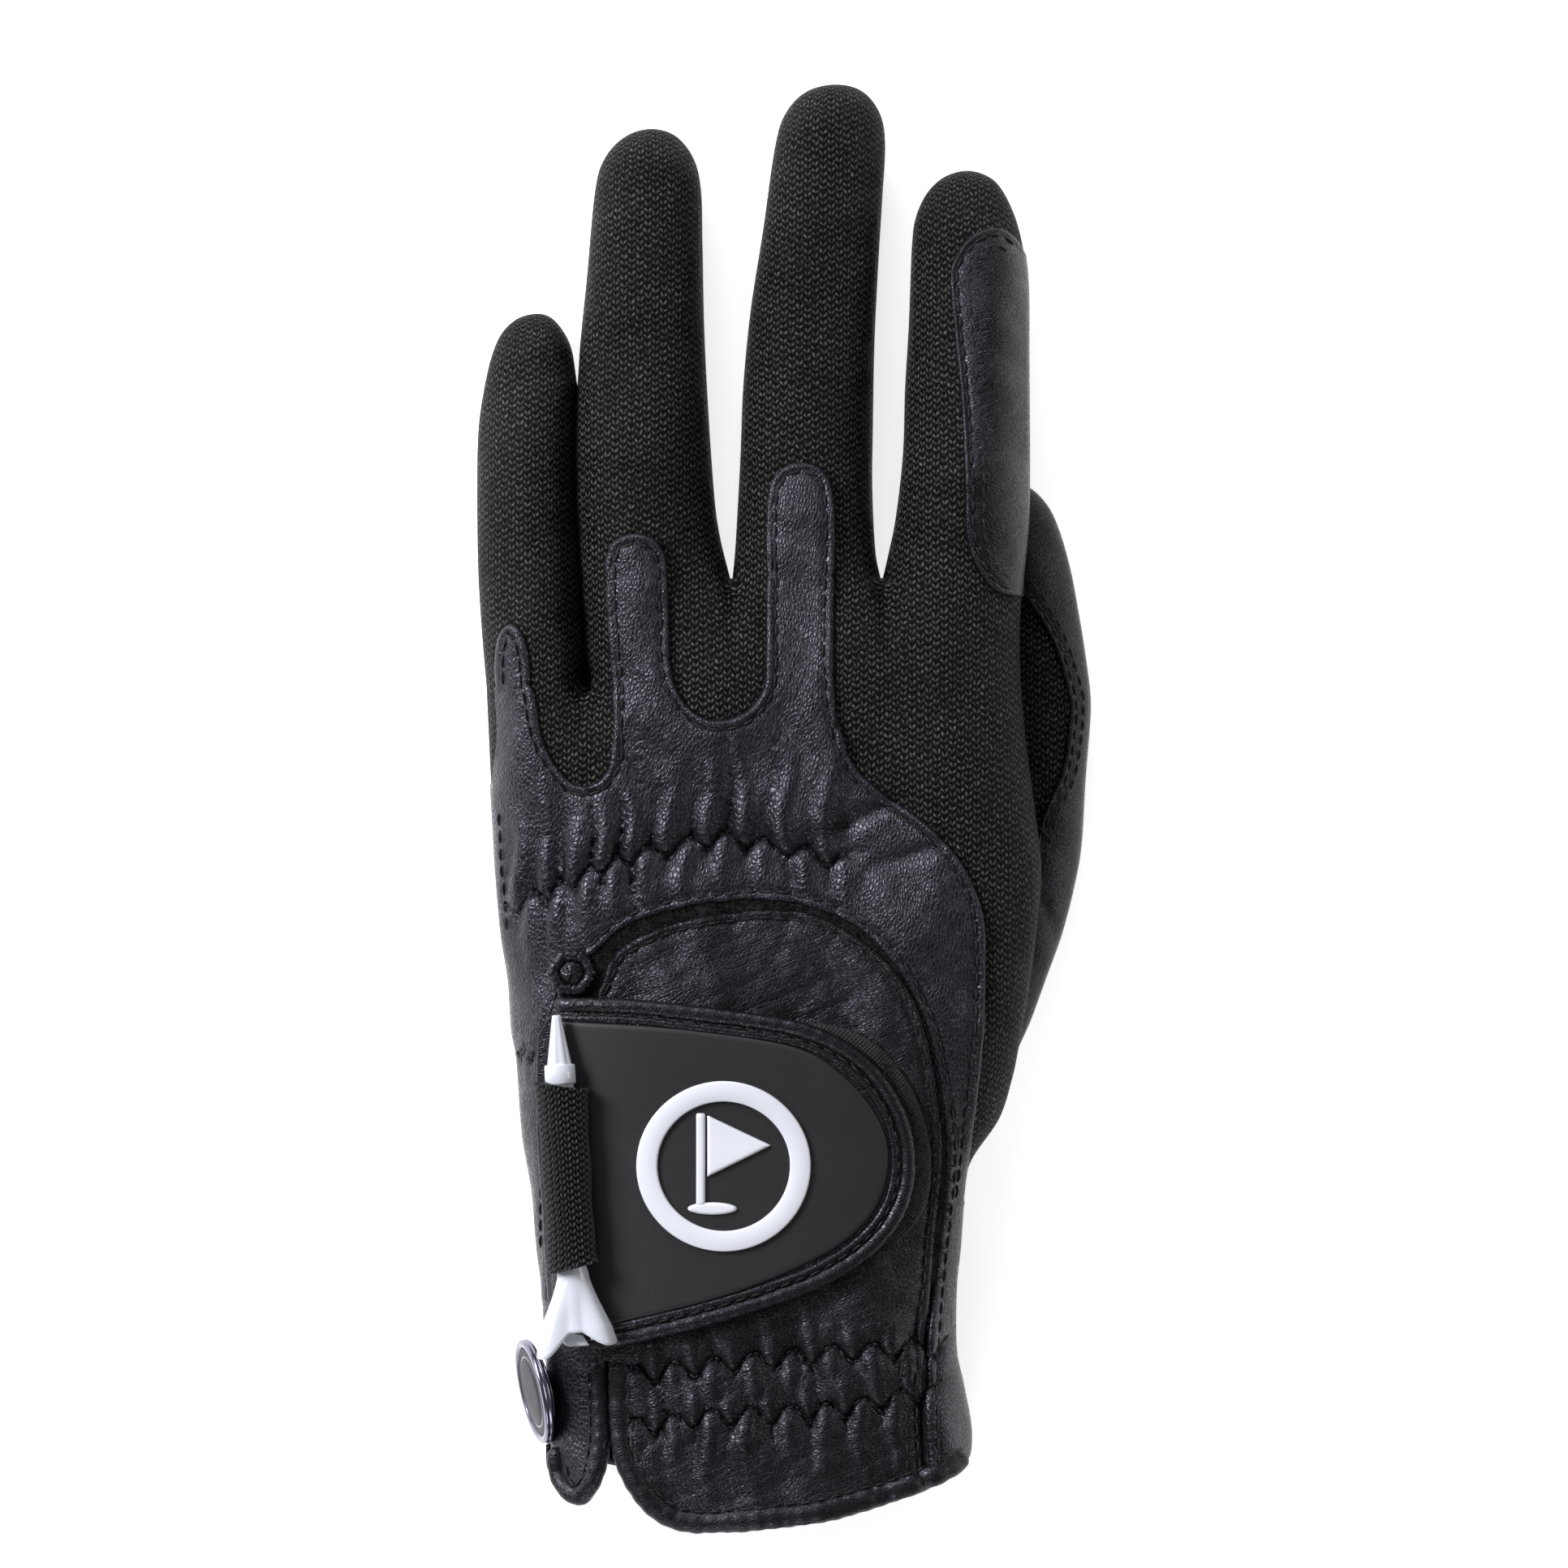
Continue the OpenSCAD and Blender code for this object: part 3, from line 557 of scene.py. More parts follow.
def turned_faces(rows, columns):
    """The same faces, turned over."""
    return [(a, d, c, b) for a, b, c, d in ring_faces(rows, columns)]


def tube(path, radius, sides=10, squash=1.0, closed=False, up=(0, 0, 1)):
    """Points and faces of a round bead along a 3-D path. radius is a number or one per point."""
    path = np.asarray(path, float)
    n = len(path)
    if closed:
        tangent = np.roll(path, -1, 0) - np.roll(path, 1, 0)
    else:
        tangent = np.gradient(path, axis=0)
    tangent = unit(tangent)
    side = unit(np.cross(tangent, np.broadcast_to(up, (n, 3))))
    over = np.cross(side, tangent)
    a = 2 * math.pi * np.arange(sides) / sides
    r = np.broadcast_to(radius, n)[:, None, None]
    points = (path[:, None] + r * (np.cos(a)[None, :, None] * side[:, None]
                                   + squash * np.sin(a)[None, :, None] * over[:, None])).reshape(-1, 3)
    faces = ring_faces(n, sides, closed)
    if not closed:
        faces.append(tuple(range(sides))[::-1])
        faces.append(tuple((n - 1) * sides + k for k in range(sides)))
    return points, faces


def merged(parts):
    """One set of points and faces from several."""
    points, faces, start = [], [], 0
    for p, f in parts:
        points.append(p)
        faces += [tuple(i + start for i in face) for face in f]
        start += len(p)
    return np.vstack(points), faces


def lathe(profile, segments):
    """Points and faces of a profile, as (radius, height) pairs, turned about the Z axis."""
    profile = np.asarray(profile, float)
    a = 2 * math.pi * np.arange(segments) / segments
    points = np.stack([profile[:, 0][:, None] * np.cos(a), profile[:, 0][:, None] * np.sin(a),
                       np.repeat(profile[:, 1][:, None], segments, 1)], 2).reshape(-1, 3)
    return points, ring_faces(len(profile), segments)


def stitch(a, b, up, radius=0.24, sides=6):
    """One thread stitch from a to b that dips into the leather at both ends."""
    t = np.array([0, 0.12, 0.32, 0.5, 0.68, 0.88, 1])
    lift = np.array([-0.32, 0.0, 0.16, 0.2, 0.16, 0.0, -0.32])
    path = a + (b - a) * t[:, None] + up * lift[:, None]
    r = radius * np.array([0.5, 0.95, 1.0, 1.0, 1.0, 0.95, 0.5])
    return tube(path, r, sides, up=tuple(up))


def stitch_row(path, place, pitch=2.9, share=0.82, radius=0.24):
    """Stitches along a curve in the plan. place puts plan points on the surface."""
    s = np.concatenate([[0], np.cumsum(np.linalg.norm(np.diff(path, axis=0), axis=1))])
    count = max(1, int(s[-1] / pitch))
    step = s[-1] / count
    starts = np.arange(count) * step
    grab = lambda t: np.stack([np.interp(t, s, path[:, 0]), np.interp(t, s, path[:, 1])], 1)
    wobble = rng.normal(0, 0.05, (count, 2))
    a, b = grab(starts) + wobble, grab(starts + share * step) + wobble
    pa, pb, up = place(a), place(b), lift_place(place, (a + b) / 2)
    return [stitch(pa[i], pb[i], up[i], radius) for i in range(count)]


def lift_place(place, xy):
    """The surface's own outward direction at plan points."""
    e = 0.2
    x = place(xy + [e, 0]) - place(xy - [e, 0])
    y = place(xy + [0, e]) - place(xy - [0, e])
    n = unit(np.cross(x, y))
    return n * np.where(n[:, 2:] < 0, -1, 1)


def offset(path, distance):
    """A curve moved sideways to its left."""
    t = unit(np.gradient(path, axis=0))
    return path + np.stack([-t[:, 1], t[:, 0]], 1) * distance


# ---------------------------------------------------------------- materials

class Paint:
    """Builds one node material from the coordinates stored with each mesh."""

    def __init__(self, name, **fixed):
        self.material = bpy.data.materials.new(name)
        self.material.use_nodes = True
        self.tree = self.material.node_tree
        self.shader = self.tree.nodes["Principled BSDF"]
        for socket, value in fixed.items():
            self.shader.inputs[socket.replace("_", " ")].default_value = value
        self.place = self.add("ShaderNodeAttribute", attribute_name="weave").outputs["Vector"]

    def add(self, kind, inputs=(), **settings):
        node = self.tree.nodes.new(kind)
        for key, value in settings.items():
            setattr(node, key, value)
        for key, value in dict(inputs).items():
            self.feed(node.inputs[key], value)
        return node

    def feed(self, socket, value):
        """Links a socket, or sets its value."""
        if isinstance(value, bpy.types.NodeSocket):
            self.tree.links.new(value, socket)
        else:
            socket.default_value = value

    def math(self, operation, *values):
        return self.add("ShaderNodeMath", dict(enumerate(values)), operation=operation).outputs[0]

    def vector(self, operation, a, b):
        return self.add("ShaderNodeVectorMath", {0: a, 1: b}, operation=operation).outputs[0]

    def axes(self, vector):
        return self.add("ShaderNodeSeparateXYZ", {0: vector}).outputs

    def noise(self, scale, detail=3.0, rough=0.55, vector=None, warp=0.0):
        return self.add("ShaderNodeTexNoise", {
            "Vector": vector or self.place, "Scale": scale, "Detail": detail, "Roughness": rough,
            "Distortion": warp}).outputs["Fac"]

    def drift(self, scale, reach):
        """A gentle random shift of the coordinates, up to reach along each axis."""
        noise = self.add("ShaderNodeTexNoise", {"Vector": self.place, "Scale": scale, "Detail": 2.0})
        return self.vector("MULTIPLY", noise.outputs["Color"], reach)

    def cells(self, scale, vector, **settings):
        """The outputs of a pattern of random cells."""
        return self.add("ShaderNodeTexVoronoi", {"Vector": vector, "Scale": scale, "Randomness": 1.0},
                        **settings).outputs

    def grooves(self, scale, vector):
        """How far each place is from the walls between random cells."""
        return self.cells(scale, vector, feature="DISTANCE_TO_EDGE")["Distance"]

    def spread(self, value, low, high, to_low=0.0, to_high=1.0):
        return self.add("ShaderNodeMapRange", {0: value, 1: low, 2: high, 3: to_low, 4: to_high}).outputs[0]

    def mixed(self, factor, a, b):
        return self.add("ShaderNodeMix", {0: factor, 6: a, 7: b}, data_type="RGBA").outputs[2]

    def finish(self, color, rough, bumps):
        """Joins up colour, roughness and a chain of bumps given as (height, depth in mm)."""
        self.feed(self.shader.inputs["Base Color"], color)
        self.feed(self.shader.inputs["Roughness"], rough)
        below = {}
        for height, depth in bumps:
            bump = {"Height": height, "Distance": depth * MM, "Strength": 1.0, **below}
            below = {"Normal": self.add("ShaderNodeBump", bump).outputs["Normal"]}
        self.feed(self.shader.inputs["Normal"], below["Normal"])
        return self.material


def grey(value, blue=0.0):
    """A dark neutral colour, turned towards blue."""
    return (value * (1 - 0.5 * blue), value * (1 - 0.35 * blue), value * (1 + blue), 1)


def knit(name, wide, high, dark, light, tint, depth):
    """Knitted cloth: columns of thick V loops, a little irregular, with yarn fuzz and bright flecks. The
    colour is painted: highlights on the high parts of the loops, and painted shade in the gaps between them.
    """
    p = Paint(name, Specular_IOR_Level=0.1)
    moved = p.place
    for scale, reach in ((0.35, 1.0), (1.3, 0.55)):
        moved = p.vector("ADD", moved, p.drift(scale, (reach, reach, 0)))
    x, y, _ = p.axes(moved)
    column = p.math("DIVIDE", x, wide)
    lean = p.math("PINGPONG", column, 0.5)
    row = p.math("ADD", p.math("DIVIDE", y, high), p.math("MULTIPLY", lean, 1.1))
    row = p.math("MULTIPLY_ADD", p.math("FLOOR", column), 0.5, row)
    loop = p.math("MULTIPLY_ADD", p.math("COSINE", p.math("MULTIPLY", row, 2 * math.pi)), 0.5, 0.5)
    leg = p.math("POWER", p.math("ABSOLUTE", p.math("SINE", p.math("MULTIPLY", column, 2 * math.pi))), 0.4)
    body = p.math("MULTIPLY", p.math("POWER", loop, 0.75), leg)
    yarn = p.noise(4.5, 4, 0.7)
    high_loop = p.math("MULTIPLY_ADD", yarn, 0.5, body)
    # Painted highlight on the high parts of each loop, in flecks, over painted shade (the dark colour) in
    # the gaps.
    lit = p.math("POWER", p.spread(high_loop, 0.4, 1.35), 2.6)
    painted_loop_highlight = p.math("MULTIPLY", lit, p.spread(p.noise(1.3, 2), 0.32, 0.7, 0.25, 2.0))
    shade = p.mixed(painted_loop_highlight, grey(dark), (light * tint[0], light * tint[1], light * tint[2], 1))
    patchy = p.noise(0.08, 3)
    color = p.mixed(p.spread(patchy, 0.3, 0.7, 0, 0.3), shade, grey(dark * 1.2))
    glint = p.spread(p.noise(2.2, 2), 0.35, 0.7, 0.36, 0.75)
    return p.finish(color, glint, [(body, depth), (yarn, depth * 0.4)])


def leather(name, tone, grain, depth, rough, blue=0.35, specular=0.5, creased=0.12, creases=0.05, turn=80,
            crease_scale=0.4):
    """Grained leather: pebbles between grooves painted dark as shade, with painted bluish highlights on the
    pebbles, pores, pulled creases, and paler high spots that are partly wear and partly painted highlight.
    """
    p = Paint(name, Specular_IOR_Level=specular, Specular_Tint=(0.87, 0.87, 1.0, 1))
    wander = p.drift(0.45, (0.7, 0.7, 0.7))
    turned = p.add("ShaderNodeVectorRotate", {"Vector": p.place, "Angle": -math.radians(turn)},
                   rotation_type="Z_AXIS").outputs[0]
    place = p.vector("ADD", p.vector("MULTIPLY", turned, (0.75, 1.3, 1.0)), wander)
    groove = p.grooves(1 / grain, place)
    pebble = p.math("POWER", p.spread(groove, 0.0, 0.34), 0.6)
    fine = p.spread(p.grooves(2.6 / grain, place), 0, 0.12)
    pores = p.noise(7.0, 3, 0.6)
    pulled = p.vector("MULTIPLY", turned, (0.3, 1.5, 1.0))
    folds = p.noise(0.55, 2.5, 0.5, pulled, 0.35)
    lines = p.noise(crease_scale, 1.0, 0.5, pulled, 0.2)
    lines = p.spread(p.math("ABSOLUTE", p.math("SUBTRACT", lines, 0.5)), 0, 0.06)
    wear_and_highlight_patches = p.noise(0.05, 4, 0.6)
    lot = p.add("ShaderNodeSeparateColor", {0: p.cells(1 / grain, place)["Color"]}).outputs[0]
    # Painted highlight: each pebble is lighter and bluer at its top, at its own brightness, standing in for
    # glints; the grooves between pebbles get painted shade, nearly black.
    painted_pebble_highlight = p.mixed(p.math("POWER", lot, 2.0), grey(tone * 0.6, blue), grey(tone * 3.2, blue * 1.3))
    base = p.mixed(pebble, grey(tone * 0.04, blue), painted_pebble_highlight)
    # The paler variant for patches of wear, with the same painted shade in the grooves and painted highlight
    # on the pebbles; mixing it in makes the colour partly wear and partly painted light.
    pale = p.mixed(pebble, grey(tone * 0.15, blue), grey(tone * 2.4, blue * 1.3))
    wear_and_painted_light = p.mixed(p.spread(wear_and_highlight_patches, 0.4, 0.75, 0, 0.5), base, pale)
    gloss = p.math("ADD", p.spread(pores, 0.3, 0.7, 0.04, -0.04), p.spread(pebble, 0, 0.8, 0.35, 0))
    gloss = p.math("ADD", p.spread(wear_and_highlight_patches, 0.35, 0.7, rough + 0.05, rough - 0.04), gloss)
    gloss = p.math("MULTIPLY_ADD", lot, -0.08, gloss)
    return p.finish(wear_and_painted_light, gloss, [(folds, creased), (lines, creases), (pebble, depth), (fine, depth * 0.1),
                                  (pores, depth * 0.05)])


def loops(name, tone, tall):
    """Coarse knitted yarn: painted highlight where a loop stands up and painted shade, nearly black, in the
    holes between loops.
    """
    p = Paint(name, Specular_IOR_Level=0.3)
    height = p.axes(p.place)["Z"]
    fibre = p.noise(6.0, 4, 0.7)
    high = p.math("MULTIPLY_ADD", p.math("SUBTRACT", fibre, 0.5), 0.35, height)
    # Painted light: the colour follows the loop height, light on the high loops and near black as painted
    # shade in the holes.
    color = p.mixed(p.math("POWER", p.spread(high, 0.12, tall), 1.5), grey(tone * 0.02), grey(tone))
    return p.finish(color, p.spread(fibre, 0.3, 0.7, 0.5, 0.75), [(fibre, 0.12)])


def cloth(name, tone, scale, depth, specular=0.2, rough=0.8):
    """Plain fine cloth: crossing threads with fuzz."""
    p = Paint(name, Specular_IOR_Level=specular, Sheen_Weight=0.01, Sheen_Roughness=0.4)
    x, y, _ = p.axes(p.place)
    across = p.math("SINE", p.math("MULTIPLY", x, 2 * math.pi / scale))
    along = p.math("SINE", p.math("MULTIPLY", y, 2 * math.pi / scale))
    weave = p.math("MULTIPLY", across, along)
    fuzz = p.noise(5.0, 4, 0.7)
    patchy = p.noise(0.1, 3)
    height = p.math("MULTIPLY_ADD", fuzz, 0.8, weave)
    color = p.mixed(p.spread(height, -0.6, 1.3), grey(tone * 0.55), grey(tone * 1.25))
    color = p.mixed(p.spread(patchy, 0.35, 0.7, 0, 0.35), color, grey(tone * 0.8))
    gloss = p.spread(fuzz, 0.3, 0.7, rough - 0.1, rough + 0.1)
    return p.finish(color, gloss, [(weave, depth), (fuzz, depth)])


def moulded(name, color, low, high, mottle, depth, **fixed):
    """A moulded or metal surface: tiny unevenness, handling marks and a slight change of tone."""
    p = Paint(name, **fixed)
    marks = p.noise(0.12, 5, 0.65, warp=0.6)
    stipple = p.noise(3.5, 3, 0.6)
    scuffs = p.noise(1.1, 4, 0.7, vector=p.vector("MULTIPLY", p.place, (0.15, 1.6, 1.0)))
    shade = tuple(c * (1 - mottle) for c in color[:3]) + (1,)
    tone = p.mixed(p.spread(marks, 0.35, 0.7), color, shade)
    rough = p.math("ADD", p.spread(marks, 0.3, 0.7, low, high), p.spread(scuffs, 0.45, 0.75, 0, 0.06))
    return p.finish(tone, rough, [(stipple, depth), (marks, depth * 2)])


MESH = knit("knit_mesh", 1.4, 1.25, 0.0002, 0.15, (0.98, 1.03, 0.90), 0.8)
PATCH = leather("patch_leather", 0.0042, 0.70, 0.085, 0.28, blue=0.14, specular=0.44, creased=0.07,
                creases=0.0, turn=82)
PALM = leather("palm_leather", 0.0045, 0.6, 0.045, 0.35, blue=0.2, creased=0.12, creases=0.0)
SMOOTH_LEATHER = leather("smooth_leather", 0.0024, 0.58, 0.065, 0.26, blue=0.06, specular=0.36, creased=0.10,
                         creases=0.05, turn=22, crease_scale=0.35)
BINDING = leather("binding_leather", 0.0024, 0.55, 0.035, 0.30, blue=0.06, specular=0.38, creased=0.08,
                  creases=0.0, turn=10)
ELASTIC = cloth("elastic_cloth", 0.02, 0.9, 0.1)
LINING = cloth("lining_cloth", 0.03, 0.6, 0.06)
PILE = cloth("loop_pile", 0.012, 0.5, 0.1, rough=0.9)
HOOK = cloth("hook_tape", 0.014, 0.8, 0.12, specular=0.3, rough=0.6)
SLEEVE = loops("sleeve_yarn", 0.055, 1.0)
THREAD = cloth("sewing_thread", 0.0025, 0.35, 0.04, specular=0.35, rough=0.42)
RUBBER = moulded("rubber_panel", (0.011, 0.011, 0.012, 1), 0.52, 0.6, 0.12, 0.012, Specular_IOR_Level=0.4)
EMBLEM = moulded("emblem_white", (0.66, 0.66, 0.71, 1), 0.32, 0.42, 0.05, 0.008, Specular_IOR_Level=0.5)
WHITE = moulded("tee_white", (0.56, 0.57, 0.62, 1), 0.16, 0.26, 0.05, 0.006, Specular_IOR_Level=0.5,
                Coat_Weight=0.3, Coat_Roughness=0.12)
ENAMEL = moulded("marker_enamel", (0.014, 0.013, 0.018, 1), 0.34, 0.42, 0.3, 0.004, IOR=1.18)
CHROME = moulded("marker_metal", (0.22, 0.21, 0.27, 1), 0.16, 0.26, 0.2, 0.005, Metallic=1.0)


# ---------------------------------------------------------------- the skin: knit backs and leather palm

def flat_copy(form):
    """The same form without its folds, for stiff pieces that bridge them."""
    other = object.__new__(Pillow)
    other.__dict__.update(form.__dict__)
    other.relief = flat
    return other


calm = flat_copy(hand)
ROOTS = {
    "index": line((17.4, ROOT_Y), (41.9, ROOT_Y)),
    "middle": line((-9.1, ROOT_Y), (17.0, ROOT_Y)),
    "ring": line((-36, ROOT_Y), (-9.5, ROOT_Y)),
    "little": line((-52.6, LITTLE_ROOT_Y), (-34.8 - TOUCH_GAP, LITTLE_ROOT_Y)),
}
FINGER_EDGES = {"index": index_edge, "middle": middle_edge, "ring": ring_edge, "little": little_edge}
cuff_back = curve([
    (-41.2, -112.5), (-30, -117.5), (-10, -120.5), (15, -119.6), (27, -117.2), (32.5, -114.5)])


def hand_area(bottom):
    """The hand's part of the outline, above a curve that runs from left to right across the cuff."""
    left = between(left_side, np.interp(-41, bottom[:, 0], bottom[:, 1]), LITTLE_ROOT_Y)
    right = between(right_side, bottom[-1, 1] + 0.3, ROOT_Y)
    return joined(bottom, right, ROOTS["index"][::-1], ROOTS["middle"][::-1], ROOTS["ring"][::-1],
                  ring_flank, ROOTS["little"][::-1], left)


knit_bottom = line((-42.3, -92), (30.4, -92))
drape("back_mesh_cloth", hand_area(knit_bottom), hand, "top", "hand", MESH, "back_mesh")
palm = drape("palm_leather_panel", hand_area(cuff_back), hand, "bottom", "hand", PALM, "palm_leather")
thicken(palm, 0.7)
for finger, edge in FINGER_EDGES.items():
    area = joined(ROOTS[finger], edge)
    body = finger + "_finger"
    drape(finger + "_back_mesh", area, hand, "top", body, MESH, "back_mesh",
                                     spacing=1.15)
    drape(finger + "_palm_leather", area, hand, "bottom", body, PALM,
                                     "palm_leather", spacing=1.3)


# ---------------------------------------------------------------- leather over the knuckles

ring_tab = curve([
    (-31, ROOT_Y), (-31.1, 42.4), (-29.5, 46.2), (-25.9, 47.5), (-22.2, 46.1), (-20.6, 42.8),
    (-20.4, ROOT_Y)])
middle_tab = curve([
    (-3.1, ROOT_Y), (-3, 50.3), (-2.3, 56), (-0.1, 59.1), (3.1, 60), (6.3, 59.1), (8.1, 56.4), (8.9, 51),
    (8.9, ROOT_Y)])
little_tab = curve([
    (-50.6, 21), (-50.7, 25), (-49.9, 29.6), (-47.8, 31.8), (-45.6, 30.3), (-44.5, 26.6), (-44, 21)])
upper_curve = curve([
    (-44, 21), (-43.3, 18.9), (-42, 11.7), (-39.4, 6.7), (-36.6, 3.9), (-33.7, 3.6), (-30.9, 6),
    (-29.9, 10.3), (-29.9, 20.3), (-30.9, 34.6), (-31, ROOT_Y)])
valley_curve = curve([
    (-20.4, ROOT_Y), (-20, 33.1), (-19.7, 24.6), (-18.3, 19.6), (-15.1, 16), (-11.6, 14.9), (-7.3, 16),
    (-4.4, 18.9), (-3.4, 22.4), (-3.3, 33.1), (-3.1, ROOT_Y)])
right_curve = curve([
    (8.9, ROOT_Y), (8.9, 33.1), (8.9, 20.3), (9.9, 13.1), (12, 7.4), (17, 2.4), (23.4, -1.9),
    (29.1, -7.6), (32.7, -13.3), (34.6, -18.3), (35.1, -24), (35.1, -34), (34.1, -46.9), (32.9, -58.3),
    (31.7, -69.7)])
left_curve = curve([(-51.3, 4), (-50.1, 12), (-50.6, 21)])
arch_curve = curve([
    (-41.4, -88), (-41, -78), (-40.3, -45), (-38, -34), (-35, -28), (-32.3, -25.4), (-28, -21.4),
    (-20.9, -18.7), (-12.3, -17.1), (-3.7, -16.6), (4.5, -17.8), (12.7, -21.5), (19.6, -28.4),
    (24.5, -38.1), (27, -48.6), (28, -58.4), (27.9, -67), (26.7, -77), (25.9, -85.4), (25.1, -94),
    (24.9, -105), (25.6, -119.4)])
inner_curve = curve([
    (-33, -97), (-33, -60), (-33, -36), (-31.6, -30.5), (-30.5, -27.2), (-27.3, -23.9), (-19.4, -20.5),
    (-9.4, -18.6), (-0.9, -18.1), (6.6, -19.4), (15.9, -25), (22, -32.4), (25.4, -42.1), (27.3, -54),
    (27.5, -64), (26.2, -75.4), (25.3, -86.9), (24.6, -94), (24.1, -105), (24.8, -119.8)])
cuff_left = curve([
    (-30.3, -97), (-30.4, -103), (-30.1, -110.4), (-29.2, -115), (-26.8, -120), (-23.2, -124.2),
    (-19.4, -126.4), (-15.1, -127.1)])
cuff_bottom = curve([(-15.1, -127.1), (-4, -126.3), (7.7, -124.8), (19.1, -121.7), (24.4, -120)])
cuff_corner = curve([(25.6, -119.4), (28.6, -118), (31.2, -116.4), (32.6, -114.6)])
lobe_edge = curve([
    (-41.3, -113), (-41.1, -117), (-40, -120), (-38, -122), (-35.9, -122.7), (-34.2, -122),
    (-32.2, -119.2), (-31, -115.4), (-30.4, -110.4), (-30.7, -103), (-30.9, -97)])
tab_edges = [little_tab, upper_curve, ring_tab, valley_curve, middle_tab, right_curve]
patch_free = [np.vstack(tab_edges), arch_curve]
LEATHER = 0.95  # how far the leather stands off the skin
SHEET = 0.8  # how thick the leather itself is


def near_side(form, xy):
    """0.3 at the side of a form and 1 on its flat, to keep layers thin where they roll over the side."""
    return 0.3 + 0.7 * smooth(form.edge.near(xy)[0] / 7)


def leather_panel(name, outline, body, material, free, thick=LEATHER, form=hand, side="top", spacing=0.95,
                  rims=EDGE_RIMS, stitch_at=1.7, wrinkle=None, slot="patch_leather"):
    """A leather panel with turned edges along the curves in free."""
    profile = turned_edge(thick, stitch_at)

    def height(d, x, y):
        h = profile(d, x, y) * near_side(form, np.column_stack([x, y]))
        return h if wrinkle is None else h + wrinkle(x, y) * smooth((d - 2) / 3)

    layer = drape(name, outline, form, side, body, material, slot, height, free, spacing, rims)
    return thicken(layer, SHEET)


patch_outline = joined(
    upper_curve, line((-31, ROOT_Y), (-20.4, ROOT_Y)), valley_curve, line((-3.1, ROOT_Y), (8.9, ROOT_Y)),
    right_curve, between(right_side, -114.6, -69.7)[::-1], cuff_corner[::-1], arch_curve[::-1],
    between(left_side, -88, 4)[::-1], left_curve, line((-50.6, 21), (-44, 21)))
leather_panel("knuckle_patch_leather", patch_outline, "hand", PATCH, patch_free)
for finger, edge in (("ring", ring_tab), ("middle", middle_tab), ("little", little_tab)):
    leather_panel(finger + "_tab_leather", joined(edge, line(edge[-1], edge[0])),
                                            finger + "_finger", PATCH, patch_free)

index_patch_edge = curve([
    (42.6, 97.2), (41, 99.4), (38.6, 100.9), (35.6, 101), (32, 98.8), (29.6, 95), (29.1, 91.7),
    (29.9, 81.7), (30.9, 70.3), (31.4, 56), (31.6, 47.4), (33.2, 41.7), (36.6, 37.4), (41.7, 36.3)])
index_far_side = index_edge[(index_edge[:, 0] > 35) & (index_edge[:, 1] < 97)]
index_right = np.vstack([between(right_side, 36.5, 39.9), index_far_side])
index_under = index_right - [3.2, 0]
leather_panel("index_patch_leather", joined(index_patch_edge, index_right),
                                      "index_finger", SMOOTH_LEATHER, [index_patch_edge], spacing=1.0,
                                      stitch_at=1.3)
leather_panel("index_patch_side", joined(index_right, index_under[::-1]),
                                           "index_finger", SMOOTH_LEATHER, [index_under], side="bottom",
                                           spacing=1.2, rims=(0.3, 0.8))

# ---------------------------------------------------------------- inner leather, pile, cuff

pull = waves(29, 2.6, 9)


def pulled(x, y):
    """Wrinkles that run up to the right, where the closure pulls on the leather."""
    return 0.11 * pull(0.1 * (x + 0.42 * y), 0.92 * (y - 0.42 * x))


inner_outline = joined(inner_curve, cuff_bottom[::-1], cuff_left[::-1])
CUFF_LEATHER = 0.85
leather_panel("landing_and_cuff_leather", inner_outline, "hand", SMOOTH_LEATHER,
                                [inner_curve], thick=CUFF_LEATHER, spacing=0.75, wrinkle=pulled)
pile_outline = joined(offset(inner_curve, -1.6)[8:-45], offset(arch_curve, 1.2)[70:-45][::-1])
drape("loop_pile_strip", pile_outline, hand, "top", "hand", PILE, "loop_pile", 0.5,
                       spacing=0.8, rims=(0.3, 0.8))
lobe_outline = joined(between(left_side, -112.8, -86.5), lobe_edge, line((-30.9, -97), (-31.5, -87)),
                      line((-31.5, -87), (-42.4, -87)))
leather_panel("cuff_lobe_leather", lobe_outline, "hand", PATCH, [lobe_edge],
                               thick=CUFF_LEATHER)


FINE = 0.4  # step along a binding


def roll(name, path, inset, form, height, radius, body, squash=0.72, side="top"):
    """A rolled and stitched binding along a curve, inset to its left, that puckers between its stitches."""
    path, pitch = even(offset(even(path, FINE), inset), FINE), 2.7
    s = np.arange(len(path)) * FINE
    middle = form.top(path, height) if side == "top" else form.bottom(path, height)
    middle[:, 2] = np.maximum(middle[:, 2], radius * squash + 0.1)
    pucker = 0.03 * np.cos(2 * math.pi * s / pitch)
    r = radius * (1 + pucker + 0.03 * np.sin(s / 3.1) + 0.02 * np.sin(s / 1.3))
    r *= 0.35 + 0.65 * smooth(np.minimum(s, s[-1] - s) / 1.6 + 0.2)
    points, faces = tube(middle, r, 16, squash, up=(0.0, 0.0, 1.0))
    return new_object(name, points, faces, BINDING, body, "binding_leather")


cuff_edge = np.vstack([cuff_left, cuff_bottom[1:], cuff_corner])
roll("cuff_binding_roll", cuff_edge, 1.7, hand, 0.25, 2.0, "hand")
roll("palm_cuff_binding_roll", cuff_back, 0.9, hand, -0.3, 1.1, "hand", side="bottom")
roll("lobe_binding_roll", lobe_edge, 1.5, hand, 0.25, 1.7, "hand")

# ---------------------------------------------------------------- closure tab

